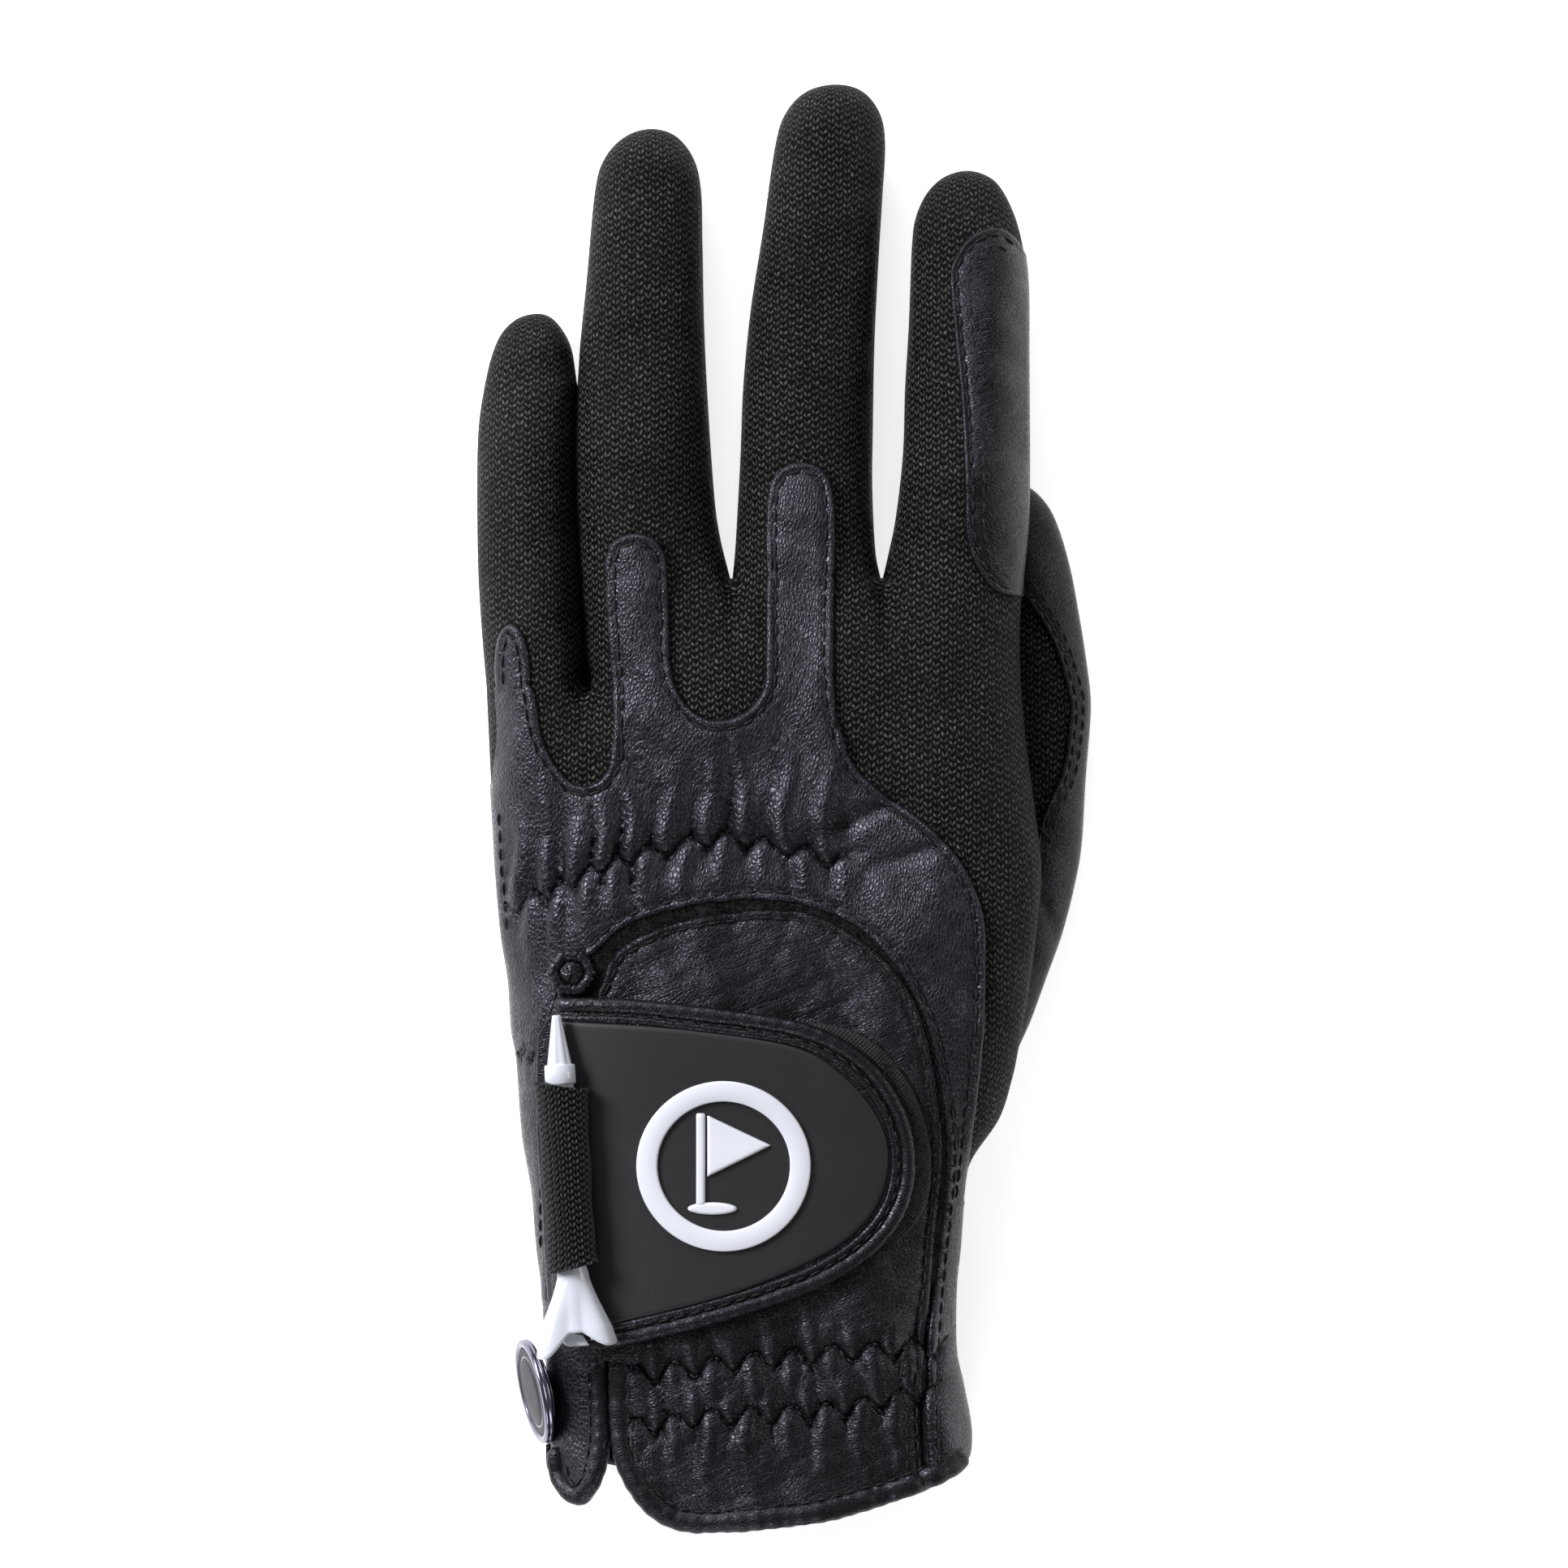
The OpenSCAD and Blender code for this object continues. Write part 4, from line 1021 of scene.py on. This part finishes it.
tab_edge = curve([
    (-39, -33.4), (-26.6, -33.7), (-16.6, -34.7), (-6.6, -35.9), (2, -37.3), (9.1, -39.7), (14.9, -43.6),
    (19.1, -49), (21.7, -55.4), (22.4, -62.6), (21.3, -69), (18.4, -74.7), (13.4, -79.7), (6.3, -84),
    (-2.3, -87.3), (-12.3, -90.4), (-23.7, -93.3), (-32.3, -95.3)])
tab_outline = joined(tab_edge, curve([(-32.3, -95.3), (-35, -90), (-37.5, -75), (-39, -55), (-39.6, -40),
                                      (-39, -33.4)]))
panel_edge = curve([
    (-38.6, -37.3), (-16.6, -38.8), (2, -41.7), (10.6, -46.7), (16.1, -53.8), (17.9, -61.1), (16.2, -69),
    (12, -74.6), (4.9, -79.3), (-9.4, -85.2), (-28.3, -90.2), (-33.5, -91.4)])
panel_outline = joined(panel_edge, curve([(-33.5, -91.4), (-37, -75), (-38.6, -55), (-38.9, -44),
                                          (-38.6, -37.3)]))
hook_outline = joined(curve([(-22, -39), (0, -37.8), (9, -38.2), (15.6, -41), (21.2, -47), (24.4, -55),
                             (25.3, -62.6), (24.2, -70), (20, -75.8), (12, -80.5), (-10, -88), (-22, -91)]))


def plateau(height, round_over=0.7):
    """A flat slab with a rounded edge."""
    def profile(d, x, y):
        t = np.clip(1 - d / round_over, 0, 1)
        return height - 0.75 * (1 - np.sqrt(1 - t ** 2)) * min(1.0, height)
    return profile


def tab_layer(name, outline, material, slot, profile, free, spacing, rims, thick):
    """One stiff layer of the closure tab, which bridges the folds under it."""
    return thicken(drape(name, outline, calm, "top", "closure_tab", material, slot, profile, [free], spacing,
                         rims), thick)


PANEL_TOP = 3.3  # how far the rubber panel stands off the skin
tab_layer("hook_pad_tape", hook_outline, HOOK, "hook_tape", plateau(1.75, 0.5),
                           hook_outline, 1.1, (0.15, 0.4, 0.8), 0.7)
tab_layer("tab_backing_leather", tab_outline, SMOOTH_LEATHER, "patch_leather",
                               plateau(2.7, 0.6), tab_edge, 1.2, EDGE_RIMS, 0.9)
tab_layer("tab_rubber_panel", panel_outline, RUBBER, "rubber_panel",
                                plateau(PANEL_TOP, 0.8), panel_edge, 1.3, (0.1, 0.25, 0.45, 0.7, 1.1), 0.6)
bound_edge = tab_edge[(tab_edge[:, 0] > -30) | (tab_edge[:, 1] > -60)]
roll("tab_binding_roll", bound_edge, -1.3, calm, 2.3, 1.35, "closure_tab", 0.9)
roll("tab_inner_bead", bound_edge, -3.55, calm, 2.75, 0.62, "closure_tab", 0.8)
root_outline = joined(curve([(-40.6, -92), (-41.6, -72), (-42.3, -55), (-42, -40)]),
                      curve([(-42, -40), (-39.5, -36), (-34.5, -35.4)]),
                      curve([(-34.5, -35.4), (-33.5, -60), (-32.5, -93)]),
                      curve([(-32.5, -93), (-40.6, -92)]))


# ---------------------------------------------------------------- emblem: a ring with a flag on a pin

EMBLEM_MID, EMBLEM_R, EMBLEM_IN = np.array([-10.4, -62.6]), 15.0, 11.4
EMBLEM_LOW, EMBLEM_TOP = PANEL_TOP - 0.1, PANEL_TOP + 0.8


def turn(count):
    """The angles of a full turn."""
    return 2 * math.pi * np.arange(count) / count


def circle(radius, count=160):
    a = turn(count)
    return EMBLEM_MID + radius * np.stack([np.cos(a), np.sin(a)], 1)


def raised_band(inner, outer, low, high):
    """A raised band between two closed curves with the same number of points, as rounded rubber."""
    section = ((0, low), (0.02, high - 0.12), (0.09, high), (0.5, high + 0.03), (0.91, high),
               (0.98, high - 0.12), (1, low))
    rows = np.vstack([inner + (outer - inner) * t for t, _ in section])
    heights = np.repeat([h for _, h in section], len(inner))
    return calm.top(rows, heights), turned_faces(len(section), len(inner))


def raised_shape(outline, low=EMBLEM_LOW, high=EMBLEM_TOP):
    """A raised shape over a closed outline, with a rounded edge."""
    outline = even(np.vstack([outline, outline[:1]]), 0.4)[:-1]
    xy, faces = triangulated(outline, 0.6, (0.06, 0.16, 0.32, 0.55))
    t = 1 - np.clip(Edge(outline).near(xy)[0] / 0.45, 0, 1)
    return calm.top(xy, low + (high - low) * np.sqrt(1 - t ** 2)), faces


flag = np.array([(-13.3, -64.6), (-2.2, -59.1), (-13.3, -53.6)])
pole = np.array([(-15.2, -69.6), (-13.6, -69.6), (-13.6, -53.3), (-15.2, -53.3)])
ground = np.stack([-12.4 + 4.3 * np.cos(turn(24)), -70.1 + 1.1 * np.sin(turn(24))], 1)
emblem = merged([raised_band(circle(EMBLEM_IN), circle(EMBLEM_R), EMBLEM_LOW, EMBLEM_TOP),
                 raised_shape(flag), raised_shape(pole), raised_shape(ground, high=EMBLEM_TOP - 0.05)])
new_object("tab_emblem_mark", *emblem, EMBLEM, "closure_tab", "emblem_white")


# ---------------------------------------------------------------- tee and its sleeve

TEE_TIP, TILT = np.array([-39.6, -36.5, 27.7]), math.radians(3.68)
SLEEVE_START, SLEEVE_LENGTH = 12.2, 31.8
ALONG = np.array([math.sin(TILT), -math.cos(TILT), 0])
ACROSS = np.array([math.cos(TILT), math.sin(TILT), 0])
UP = np.array([0.0, 0.0, 1.0])


def on_tee(across, up, along):
    """Points given from the tee's tip, along its axis."""
    return (TEE_TIP + np.multiply.outer(across, ACROSS) + np.multiply.outer(up, UP)
            + np.multiply.outer(along, ALONG))


def tee_points():
    """A fluted point, a collar, a plain shaft and a flared head with three prongs."""
    sides, head, cup, lip, mean_reach = 96, 44, 46.5, 0.95, 54.9
    a = turn(sides)
    stations = [(0, 0.0), (0.0, 0.55), (0.12, 0.75), (0.6, 0.86), (8.2, 2.15), (8.6, 2.2), (8.62, 2.5),
                (8.8, 2.66), (11.7, 2.7), (11.95, 2.6), (12.1, 2.3), (12.6, 2.2), (40, 2.3), (head, 2.45)]
    rows = [(np.full(sides, s), r * np.ones(sides)) for s, r in stations]
    flute = 1 - 0.07 * (0.5 + 0.5 * np.cos(8 * a))
    for i in range(3, 6):
        rows[i] = (rows[i][0], rows[i][1] * flute)
    reach, gap = np.full(sides, mean_reach), np.ones(sides)
    for prong, far in ((18, 57.4), (162, 59.2), (270, 58.0)):
        off = np.abs((np.degrees(a) - prong + 180) % 360 - 180)
        near = 0.5 + 0.5 * np.cos(math.pi * np.clip((off - 14) / 44, 0, 1))
        reach = np.maximum(reach, mean_reach + (far - mean_reach) * near)
        gap = np.minimum(gap, 1 - near)
    flare = [(head, 2.6), (46, 2.85), (48, 3.5), (50, 4.3), (52, 5.2), (54.5, 6.3), (57, 7.0), (60, 7.3)]
    under = np.where(np.sin(a) < -0.5, 0.9, 1.0)

    def profile(s):
        valleys = 1 - 0.36 * gap * smooth((s - head) / 10)
        return at(s, flare) * valleys * (1 - (1 - under) * smooth((s - 48) / 8))

    for t in np.linspace(0.06, 1, 30):
        s = head + (reach - head) * t
        rows.append((s, profile(s)))
    for k in (0.3, 0.7, 1.0):
        rows.append((reach + 0.25 * math.sin(k * math.pi), profile(reach) - lip * k))
    for t in np.linspace(0.9, 0.15, 14):
        s = cup + (reach - cup) * t
        rows.append((s, np.maximum(profile(s) - lip, 0.05)))
    rows.append((np.full(sides, 46.6), np.full(sides, 0.02)))
    points = np.vstack([on_tee(r * np.cos(a), r * np.sin(a), s) for s, r in rows])
    return points, turned_faces(len(rows), sides)


new_object("golf_tee", *tee_points(), WHITE, "tee", "tee_white")


def sleeve_points():
    """An elastic tube knitted in coarse V loops with slanted ends: points, faces and loop heights."""
    sides, rows, columns, pitch, bore = 240, 230, 20, 1.15, 2.85
    a = turn(sides)
    out, high = [], []

    def along(t):
        return SLEEVE_START + SLEEVE_LENGTH * t + (1 - 2 * t) * 0.8 * np.cos(a)

    for t in np.linspace(0, 1, rows):
        s = along(t)
        column = a / (2 * math.pi) * columns
        lean = np.abs(column % 1 - 0.5)
        loop = 0.5 + 0.5 * np.cos(2 * math.pi * (s / pitch + 1.5 * lean + 0.5 * np.floor(column)))
        leg = np.abs(np.sin(2 * math.pi * column)) ** 0.5
        bulge = 0.12 * np.sin(5 * t + 1) + 0.1 * np.sin(17 * t + 2 * a)
        end = 0.55 * np.exp(-min(t, 1 - t) * 40)
        r = 3.55 + 0.7 * loop * leg + bulge + end
        out.append(on_tee(r * 1.02 * np.cos(a), r * 0.98 * np.sin(a), s))
        high.append(np.column_stack([a * 3.6, s, loop * leg]))
    for t in (1.0, 0.97, 0.03, 0.0):
        s = along(t)
        out.append(on_tee(bore * np.cos(a), bore * np.sin(a), s))
        high.append(np.column_stack([a * 3.6, s, 0 * a]))
    return np.vstack(out + out[:1]), turned_faces(rows + 5, sides), np.vstack(high + high[:1])


points, faces, loop_heights = sleeve_points()
new_object("tee_sleeve_knit", points, faces, SLEEVE, "hand", "knit_sleeve", loop_heights)
leather_panel("tab_root_leather", root_outline, "hand", SMOOTH_LEATHER, [root_outline],
                                   thick=3.0, form=calm, spacing=1.1, stitch_at=1.4)

# ---------------------------------------------------------------- ball marker

MARKER_MID = np.array([-43.9, -103.4, 11.5])
MARKER_TURN, MARKER_LEAN = math.radians(-168), math.radians(75)
MARKER_TURNED = np.array([math.cos(MARKER_TURN), math.sin(MARKER_TURN), 0])
MARKER_AXES = np.array([
    math.cos(MARKER_LEAN) * MARKER_TURNED - math.sin(MARKER_LEAN) * UP,
    [-math.sin(MARKER_TURN), math.cos(MARKER_TURN), 0],
    math.sin(MARKER_LEAN) * MARKER_TURNED + math.cos(MARKER_LEAN) * UP])


def on_marker(profile):
    """A turned part of the ball marker, from a profile in its own frame."""
    points, faces = lathe(profile, 128)
    return MARKER_MID + points @ MARKER_AXES, faces


new_object("marker_rim_metal", *on_marker(
    [(0.01, -0.85), (8.6, -0.9), (9.1, -0.75), (9.33, -0.45), (9.35, -0.1), (9.2, 0.05), (9.2, 0.15),
     (9.35, 0.3), (9.3, 0.65), (9.1, 0.85), (8.75, 0.9), (8.3, 0.86), (8.0, 0.7), (7.95, 0.4),
     (0.01, 0.35)]), CHROME, "ball_marker", "marker_metal")
new_object("marker_enamel_face", *on_marker(
    [(7.94, 0.3), (7.9, 0.62), (7.7, 0.7), (6.5, 0.72), (6.4, 0.66), (6.15, 0.66), (6.05, 0.73), (3, 0.76),
     (0.01, 0.78)]), ENAMEL, "ball_marker", "marker_enamel")
new_object("marker_ring_line", *on_marker(
    [(6.42, 0.64), (6.38, 0.7), (6.17, 0.7), (6.13, 0.64)]), CHROME, "ball_marker", "marker_metal")
new_object("marker_base_metal", *on_marker(
    [(0.01, -1.15), (6.2, -1.15), (6.5, -1.25), (6.6, -1.5), (6.5, -1.7), (6.2, -1.8), (3.4, -1.8),
     (3.3, -2.9), (0.01, -2.9)]), CHROME, "hand", "marker_metal")


# ---------------------------------------------------------------- thumb

thumb_seam = curve([
    (33, -50), (37, -36), (41.2, -20), (43.6, -9), (45.4, -2), (48.8, 6), (50.2, 15), (50.1, 19),
    (47.1, 28.8), (42.4, 36.6), (39, 40.5), (35.8, 42.5)])
drape("thumb_back_mesh", thumb_outline, thumb, "top", "thumb", MESH, "back_mesh",
                             spacing=1.2)
drape("thumb_palm_leather", thumb_outline, thumb, "bottom", "thumb", PALM,
                             "palm_leather", spacing=1.4)
thumb_tip_side = joined(thumb_seam, thumb_inner[thumb_inner[:, 1] > 42.5][::-1], thumb_outer[::-1],
                        line((38.6, -52), (33, -50)))
leather_panel("thumb_side_leather", thumb_tip_side, "thumb", SMOOTH_LEATHER,
                                        [thumb_seam], form=thumb, spacing=1.0, stitch_at=1.2,
                                        slot="palm_leather")


# ---------------------------------------------------------------- knot at the end of the vent

def knot_points():
    """A twisted loop of leather round a domed, folded button."""
    middle = hand.top(np.array([[-36.4, -29]]), LEATHER + 0.9)[0]
    a = turn(144)
    r = 3.15 * (1 + 0.035 * np.cos(6 * a + 0.4))
    ring = middle + np.stack([r * np.cos(a), 0.97 * r * np.sin(a), 0.5 + 0.2 * np.sin(9 * a)], 1)
    ring_tube = tube(ring, 0.98 * (1 + 0.14 * np.cos(18 * a)), 16, 0.95, closed=True)
    sides, dome = 96, []
    t = turn(sides)
    for k in (1.0, 0.97, 0.9, 0.8, 0.68, 0.55, 0.42, 0.3, 0.18, 0.08, 0.01):
        fold = 0.55 * np.abs(np.sin(1.5 * t + 2.2 * k)) ** 4 * math.sin(math.pi * k)
        dome.append(np.column_stack([
            middle[0] + k * 2.35 * np.cos(t + 0.5 * k), middle[1] + k * 2.35 * np.sin(t + 0.5 * k),
            middle[2] + 2.1 * math.sqrt(1 - 0.9 * k ** 2) - fold - 0.3]))
    return merged([ring_tube, (np.vstack(dome), turned_faces(len(dome), sides))])


new_object("vent_knot_roll", *knot_points(), BINDING, "hand", "binding_leather")


# ---------------------------------------------------------------- seams

sewn = {}


def body_at(x, y):
    """The body that a point of the hand form belongs to."""
    if y > LITTLE_ROOT_Y and x < -35.9:
        return "little_finger"
    if y > ROOT_Y:
        return "index_finger" if x > 17.2 else "middle_finger" if x > -9.3 else "ring_finger"
    return "hand"


def sew(path, place, body=None, **style):
    """Adds a row of stitches to the bodies it crosses."""
    for points, faces in stitch_row(path, place, **style):
        mid = points.mean(0)
        sewn.setdefault(body or body_at(mid[0], mid[1]), []).append((points, faces))


def on_leather(form, height):
    """Puts plan points on a leather panel of a form."""
    return lambda xy: form.top(xy, height * near_side(form, xy))


def on_form(form, height):
    return lambda xy: form.top(xy, height)


def beside(path, inset):
    """A line of stitches to the left of a curve."""
    return offset(even(path, 0.5), inset)


on_patch, on_inner, on_cuff = (on_leather(hand, height) for height in (LEATHER - 0.12, 0.75, 0.8))
sew(beside(patch_free[0], -1.75), on_patch)
sew(beside(arch_curve, 1.6)[20:], on_patch, "hand")
sew(beside(inner_curve, -1.5)[110:], on_inner, "hand")
sew(beside(inner_curve[-36:], -3.2), on_inner, "hand", pitch=2.6)
sew(beside(left_side[28:56], 1.5), on_patch, "hand")
for inset in (1.3, 3.1):
    sew(beside(index_patch_edge, inset)[5:-4], on_patch, "index_finger", pitch=2.6)
for inset in (1.2, 2.5):
    sew(beside(thumb_seam, -inset), on_leather(thumb, LEATHER - 0.15), "thumb", pitch=2.6)
sew(beside(bound_edge, -2.85)[:-6], on_form(calm, 2.8), "closure_tab", pitch=2.7)
sew(beside(cuff_edge, 3.7), on_cuff, "hand", pitch=2.6)
sew(beside(lobe_edge, 3.2)[6:-3], on_cuff, "hand", pitch=2.6)
sew(line((42.9, -2.2), (46.3, -5.6), 0.3), on_leather(thumb, LEATHER + 0.1), "thumb", pitch=0.55, share=1.5)
for seam in (KNUCKLE_SEAM, CUFF_SEAM_HIGH, CUFF_SEAM_LOW, SIDE_SEAM):
    sew(seam_path(seam), on_leather(hand, LEATHER + 0.05), "hand", pitch=1.75, share=0.86, radius=0.27)
for body, stitches in sewn.items():
    new_object("stitches_" + body, *merged(stitches), THREAD, body, "thread")


# ---------------------------------------------------------------- pile, lining and inner elastic

def tufts(outline, place, count, tall, radius, r):
    """Little bent loops of yarn that stand on a strip."""
    low, high = outline.min(0), outline.max(0)
    xy = r.uniform(low, high, (count * 6, 2))
    xy = xy[inside(xy, outline)][:count]
    base, up = place(xy), lift_place(place, xy)
    out = []
    for p, n in zip(base, up):
        lean = r.normal(0, 0.28, 3)
        foot = r.normal(0, 0.18, 3)
        h = tall * r.uniform(0.7, 1.2)
        top = p + n * h + lean
        path = np.array([p, p + n * h * 0.7 + lean * 0.5, top, p + n * h * 0.6 + lean + foot])
        out.append(tube(path, radius, 4, up=(0.3, 0.2, 1)))
    return merged(out)


pile_rng = np.random.default_rng(21)
pile = tufts(pile_outline, on_form(hand, 0.45), 3600, 0.6, 0.07, pile_rng)
new_object("loop_pile_loops", *pile, PILE, "hand", "loop_pile")
hook_strip = joined(offset(tab_edge, 2.4)[70:190], offset(tab_edge, -0.4)[70:190][::-1])
hooks = tufts(hook_strip, on_form(calm, 1.6), 1800, 0.5, 0.06, pile_rng)
new_object("hook_pad_hooks", *hooks, HOOK, "closure_tab", "hook_tape")
lining_outline = joined(line((-30, -96), (30.4, -96)), between(right_side, -114.4, -96.2)[::-1],
                        cuff_corner[::-1] + [0, 0.4], cuff_bottom[::-1] + [0, 0.5],
                        cuff_left[::-1] + [0.4, 0])
lining = drape("cuff_lining_cloth", lining_outline, hand, "top", "hand", LINING, "lining", -0.15,
               spacing=1.6, rims=(0.4, 1.2))
thicken(lining, 0.6)
for name, seam in (("knuckle", KNUCKLE_SEAM), ("cuff_upper", CUFF_SEAM_HIGH), ("cuff_lower", CUFF_SEAM_LOW)):
    path = seam_path(seam, 4)
    outline = joined(path + [0, 1.0], (path - [0, 4.0])[::-1])
    strip = drape(name + "_elastic_strip", outline, hand, "top", "hand", ELASTIC, "elastic", -0.95,
                  spacing=1.6, rims=(0.5,))
    thicken(strip, 0.7)

# ---------------------------------------------------------------- what each piece stands for

STANDS_FOR = {
    "back": ["back_mesh", "little_ring_web"], "palm": ["palm_leather"], "patch": ["knuckle_patch"],
    "inner": ["landing_panel", "cuff_panel"], "pile": ["loop_patch"], "lobe": ["cuff_lobe"],
    "cuff_roll": ["cuff_binding"], "lobe_roll": ["lobe_binding"], "tab_root": ["tab_root"],
    "knot": ["vent_knot"], "sleeve": ["tee_sleeve"], "base": ["marker_base"], "tee": ["tee"],
    "rim": ["marker_rim"], "face": ["marker_face"], "hook": ["hook_pad"], "tab_back": ["tab_backing"],
    "tab_panel": ["tab_panel"], "tab_roll": ["tab_binding"], "emblem": ["tab_emblem"],
    "elastic_knuckle": ["knuckle_elastic"], "elastic_cuff_upper": ["cuff_elastic_upper"],
    "elastic_cuff_lower": ["cuff_elastic_lower"], "index_patch": ["index_patch"],
    "thumb_back": ["thumb_mesh"], "thumb_palm": ["thumb_leather"],
    "index_palm": ["index_palm", "index_fourchette"], "middle_palm": ["middle_palm", "middle_fourchettes"],
    "ring_palm": ["ring_palm", "ring_fourchettes"], "little_palm": ["little_palm", "little_fourchette"],
}
STANDS_FOR.update({finger + "_back": [finger + "_back"] for finger in FINGER_EDGES})
STANDS_FOR.update({finger + "_tab": [finger + "_tab"] for finger in ("middle", "ring", "little")})
for piece, nodes in STANDS_FOR.items():
    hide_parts(*nodes)

# Each panel as it was cut: width and length of the flat cut in metres, its area in square metres, how the
# seams hold it, and the pieces sewn on it
SHEETS = {
    "back": ((0.108, 0.138), 0.01266, "stretched", ["pile", "pile_loops", "elastic_knuckle"]),
    "palm": ((0.108, 0.166), 0.01478, "stretched", ["palm_roll"]),
    "patch": ((0.095, 0.160), 0.00496, "gathered", ["ring_tab", "middle_tab", "little_tab", "knot"]),
    "inner": ((0.061, 0.109), 0.00589, "gathered",
              ["cuff_roll", "elastic_cuff_upper", "elastic_cuff_lower"]),
    "lobe": ((0.017, 0.036), 0.00056, "stretched", ["lobe_roll"]),
    "lining": ((0.068, 0.0315), 0.00177, "stretched", []),
    "index_patch": ((0.019, 0.0655), 0.00105, "stretched", ["index_patch_side"]),
    "tab_back": ((0.062, 0.062), 0.0030, "stretched",
                 ["tab_roll", "tab_bead", "tab_panel", "emblem", "tab_root"]),
    "hook": ((0.0475, 0.0535), 0.00204, "stretched", ["hooks"]),
}
for finger, flat_size, flat_area in (
        ("index", (0.035, 0.078), 0.00228), ("middle", (0.037, 0.0925), 0.00284),
        ("ring", (0.037, 0.085), 0.00257), ("little", (0.029, 0.071), 0.00181),
        ("thumb", (0.035, 0.118), 0.00270)):
    SHEETS[finger + "_back"] = SHEETS[finger + "_palm"] = (flat_size, flat_area, "stretched", [])
SHEETS["thumb_leather"] = ((0.0285, 0.118), 0.00149, "stretched", [])

# ---------------------------------------------------------------- studio

scene = bpy.context.scene
camera = bpy.data.objects.new("camera", bpy.data.cameras.new("camera"))
scene.collection.objects.link(camera)
camera.data.lens = 150
camera.data.sensor_width = 36
CAMERA_HEIGHT, GLOVE_MIDDLE = 1.164, 0.0037
camera.location = (0, GLOVE_MIDDLE, CAMERA_HEIGHT)
scene.camera = camera

floor_mesh = bpy.data.meshes.new("floor")
FLOOR_REACH = 3
corners = [(x * FLOOR_REACH, y * FLOOR_REACH, 0) for x, y in ((-1, -1), (1, -1), (1, 1), (-1, 1))]
floor_mesh.from_pydata(corners, [], [(0, 1, 2, 3)])
floor = bpy.data.objects.new("floor", floor_mesh)
scene.collection.objects.link(floor)
pale = bpy.data.materials.new("pale_floor")
pale.use_nodes = True
pale_shader = pale.node_tree.nodes["Principled BSDF"]
pale_shader.inputs["Base Color"].default_value = (0.86, 0.86, 0.86, 1)
pale_shader.inputs["Roughness"].default_value = 0.9
pale_shader.inputs["Emission Color"].default_value = (1, 1, 1, 1)
pale_shader.inputs["Emission Strength"].default_value = 0.72
floor.data.materials.append(pale)

world = bpy.data.worlds.new("soft_room")
world.use_nodes = True
sky = world.node_tree.nodes["Background"]
sky.inputs["Color"].default_value = (0.95, 0.97, 1, 1)
sky.inputs["Strength"].default_value = 0.16
scene.world = world


def softbox(name, place, power, tint):
    """A square lamp that faces the glove."""
    data = bpy.data.lights.new(name, "AREA")
    data.size = 0.5
    data.energy = power
    data.color = tint
    lamp = bpy.data.objects.new(name, data)
    lamp.location = place
    lamp.rotation_euler = (-Vector(place)).to_track_quat("-Z", "Y").to_euler()
    scene.collection.objects.link(lamp)


softbox("key", (-0.90, 0.50, 0.72), 25, (0.93, 0.95, 1.0))
softbox("fill", (1.1, 0.1, 0.5), 3.2, (1.0, 0.98, 0.97))
softbox("front", (-0.2, -1.1, 0.55), 3.8, (0.96, 0.97, 1.0))
softbox("rear", (-0.1, 1.15, 0.6), 7, (0.96, 0.97, 1.0))
scene.view_settings.view_transform = "Standard"
scene.view_settings.look = "None"
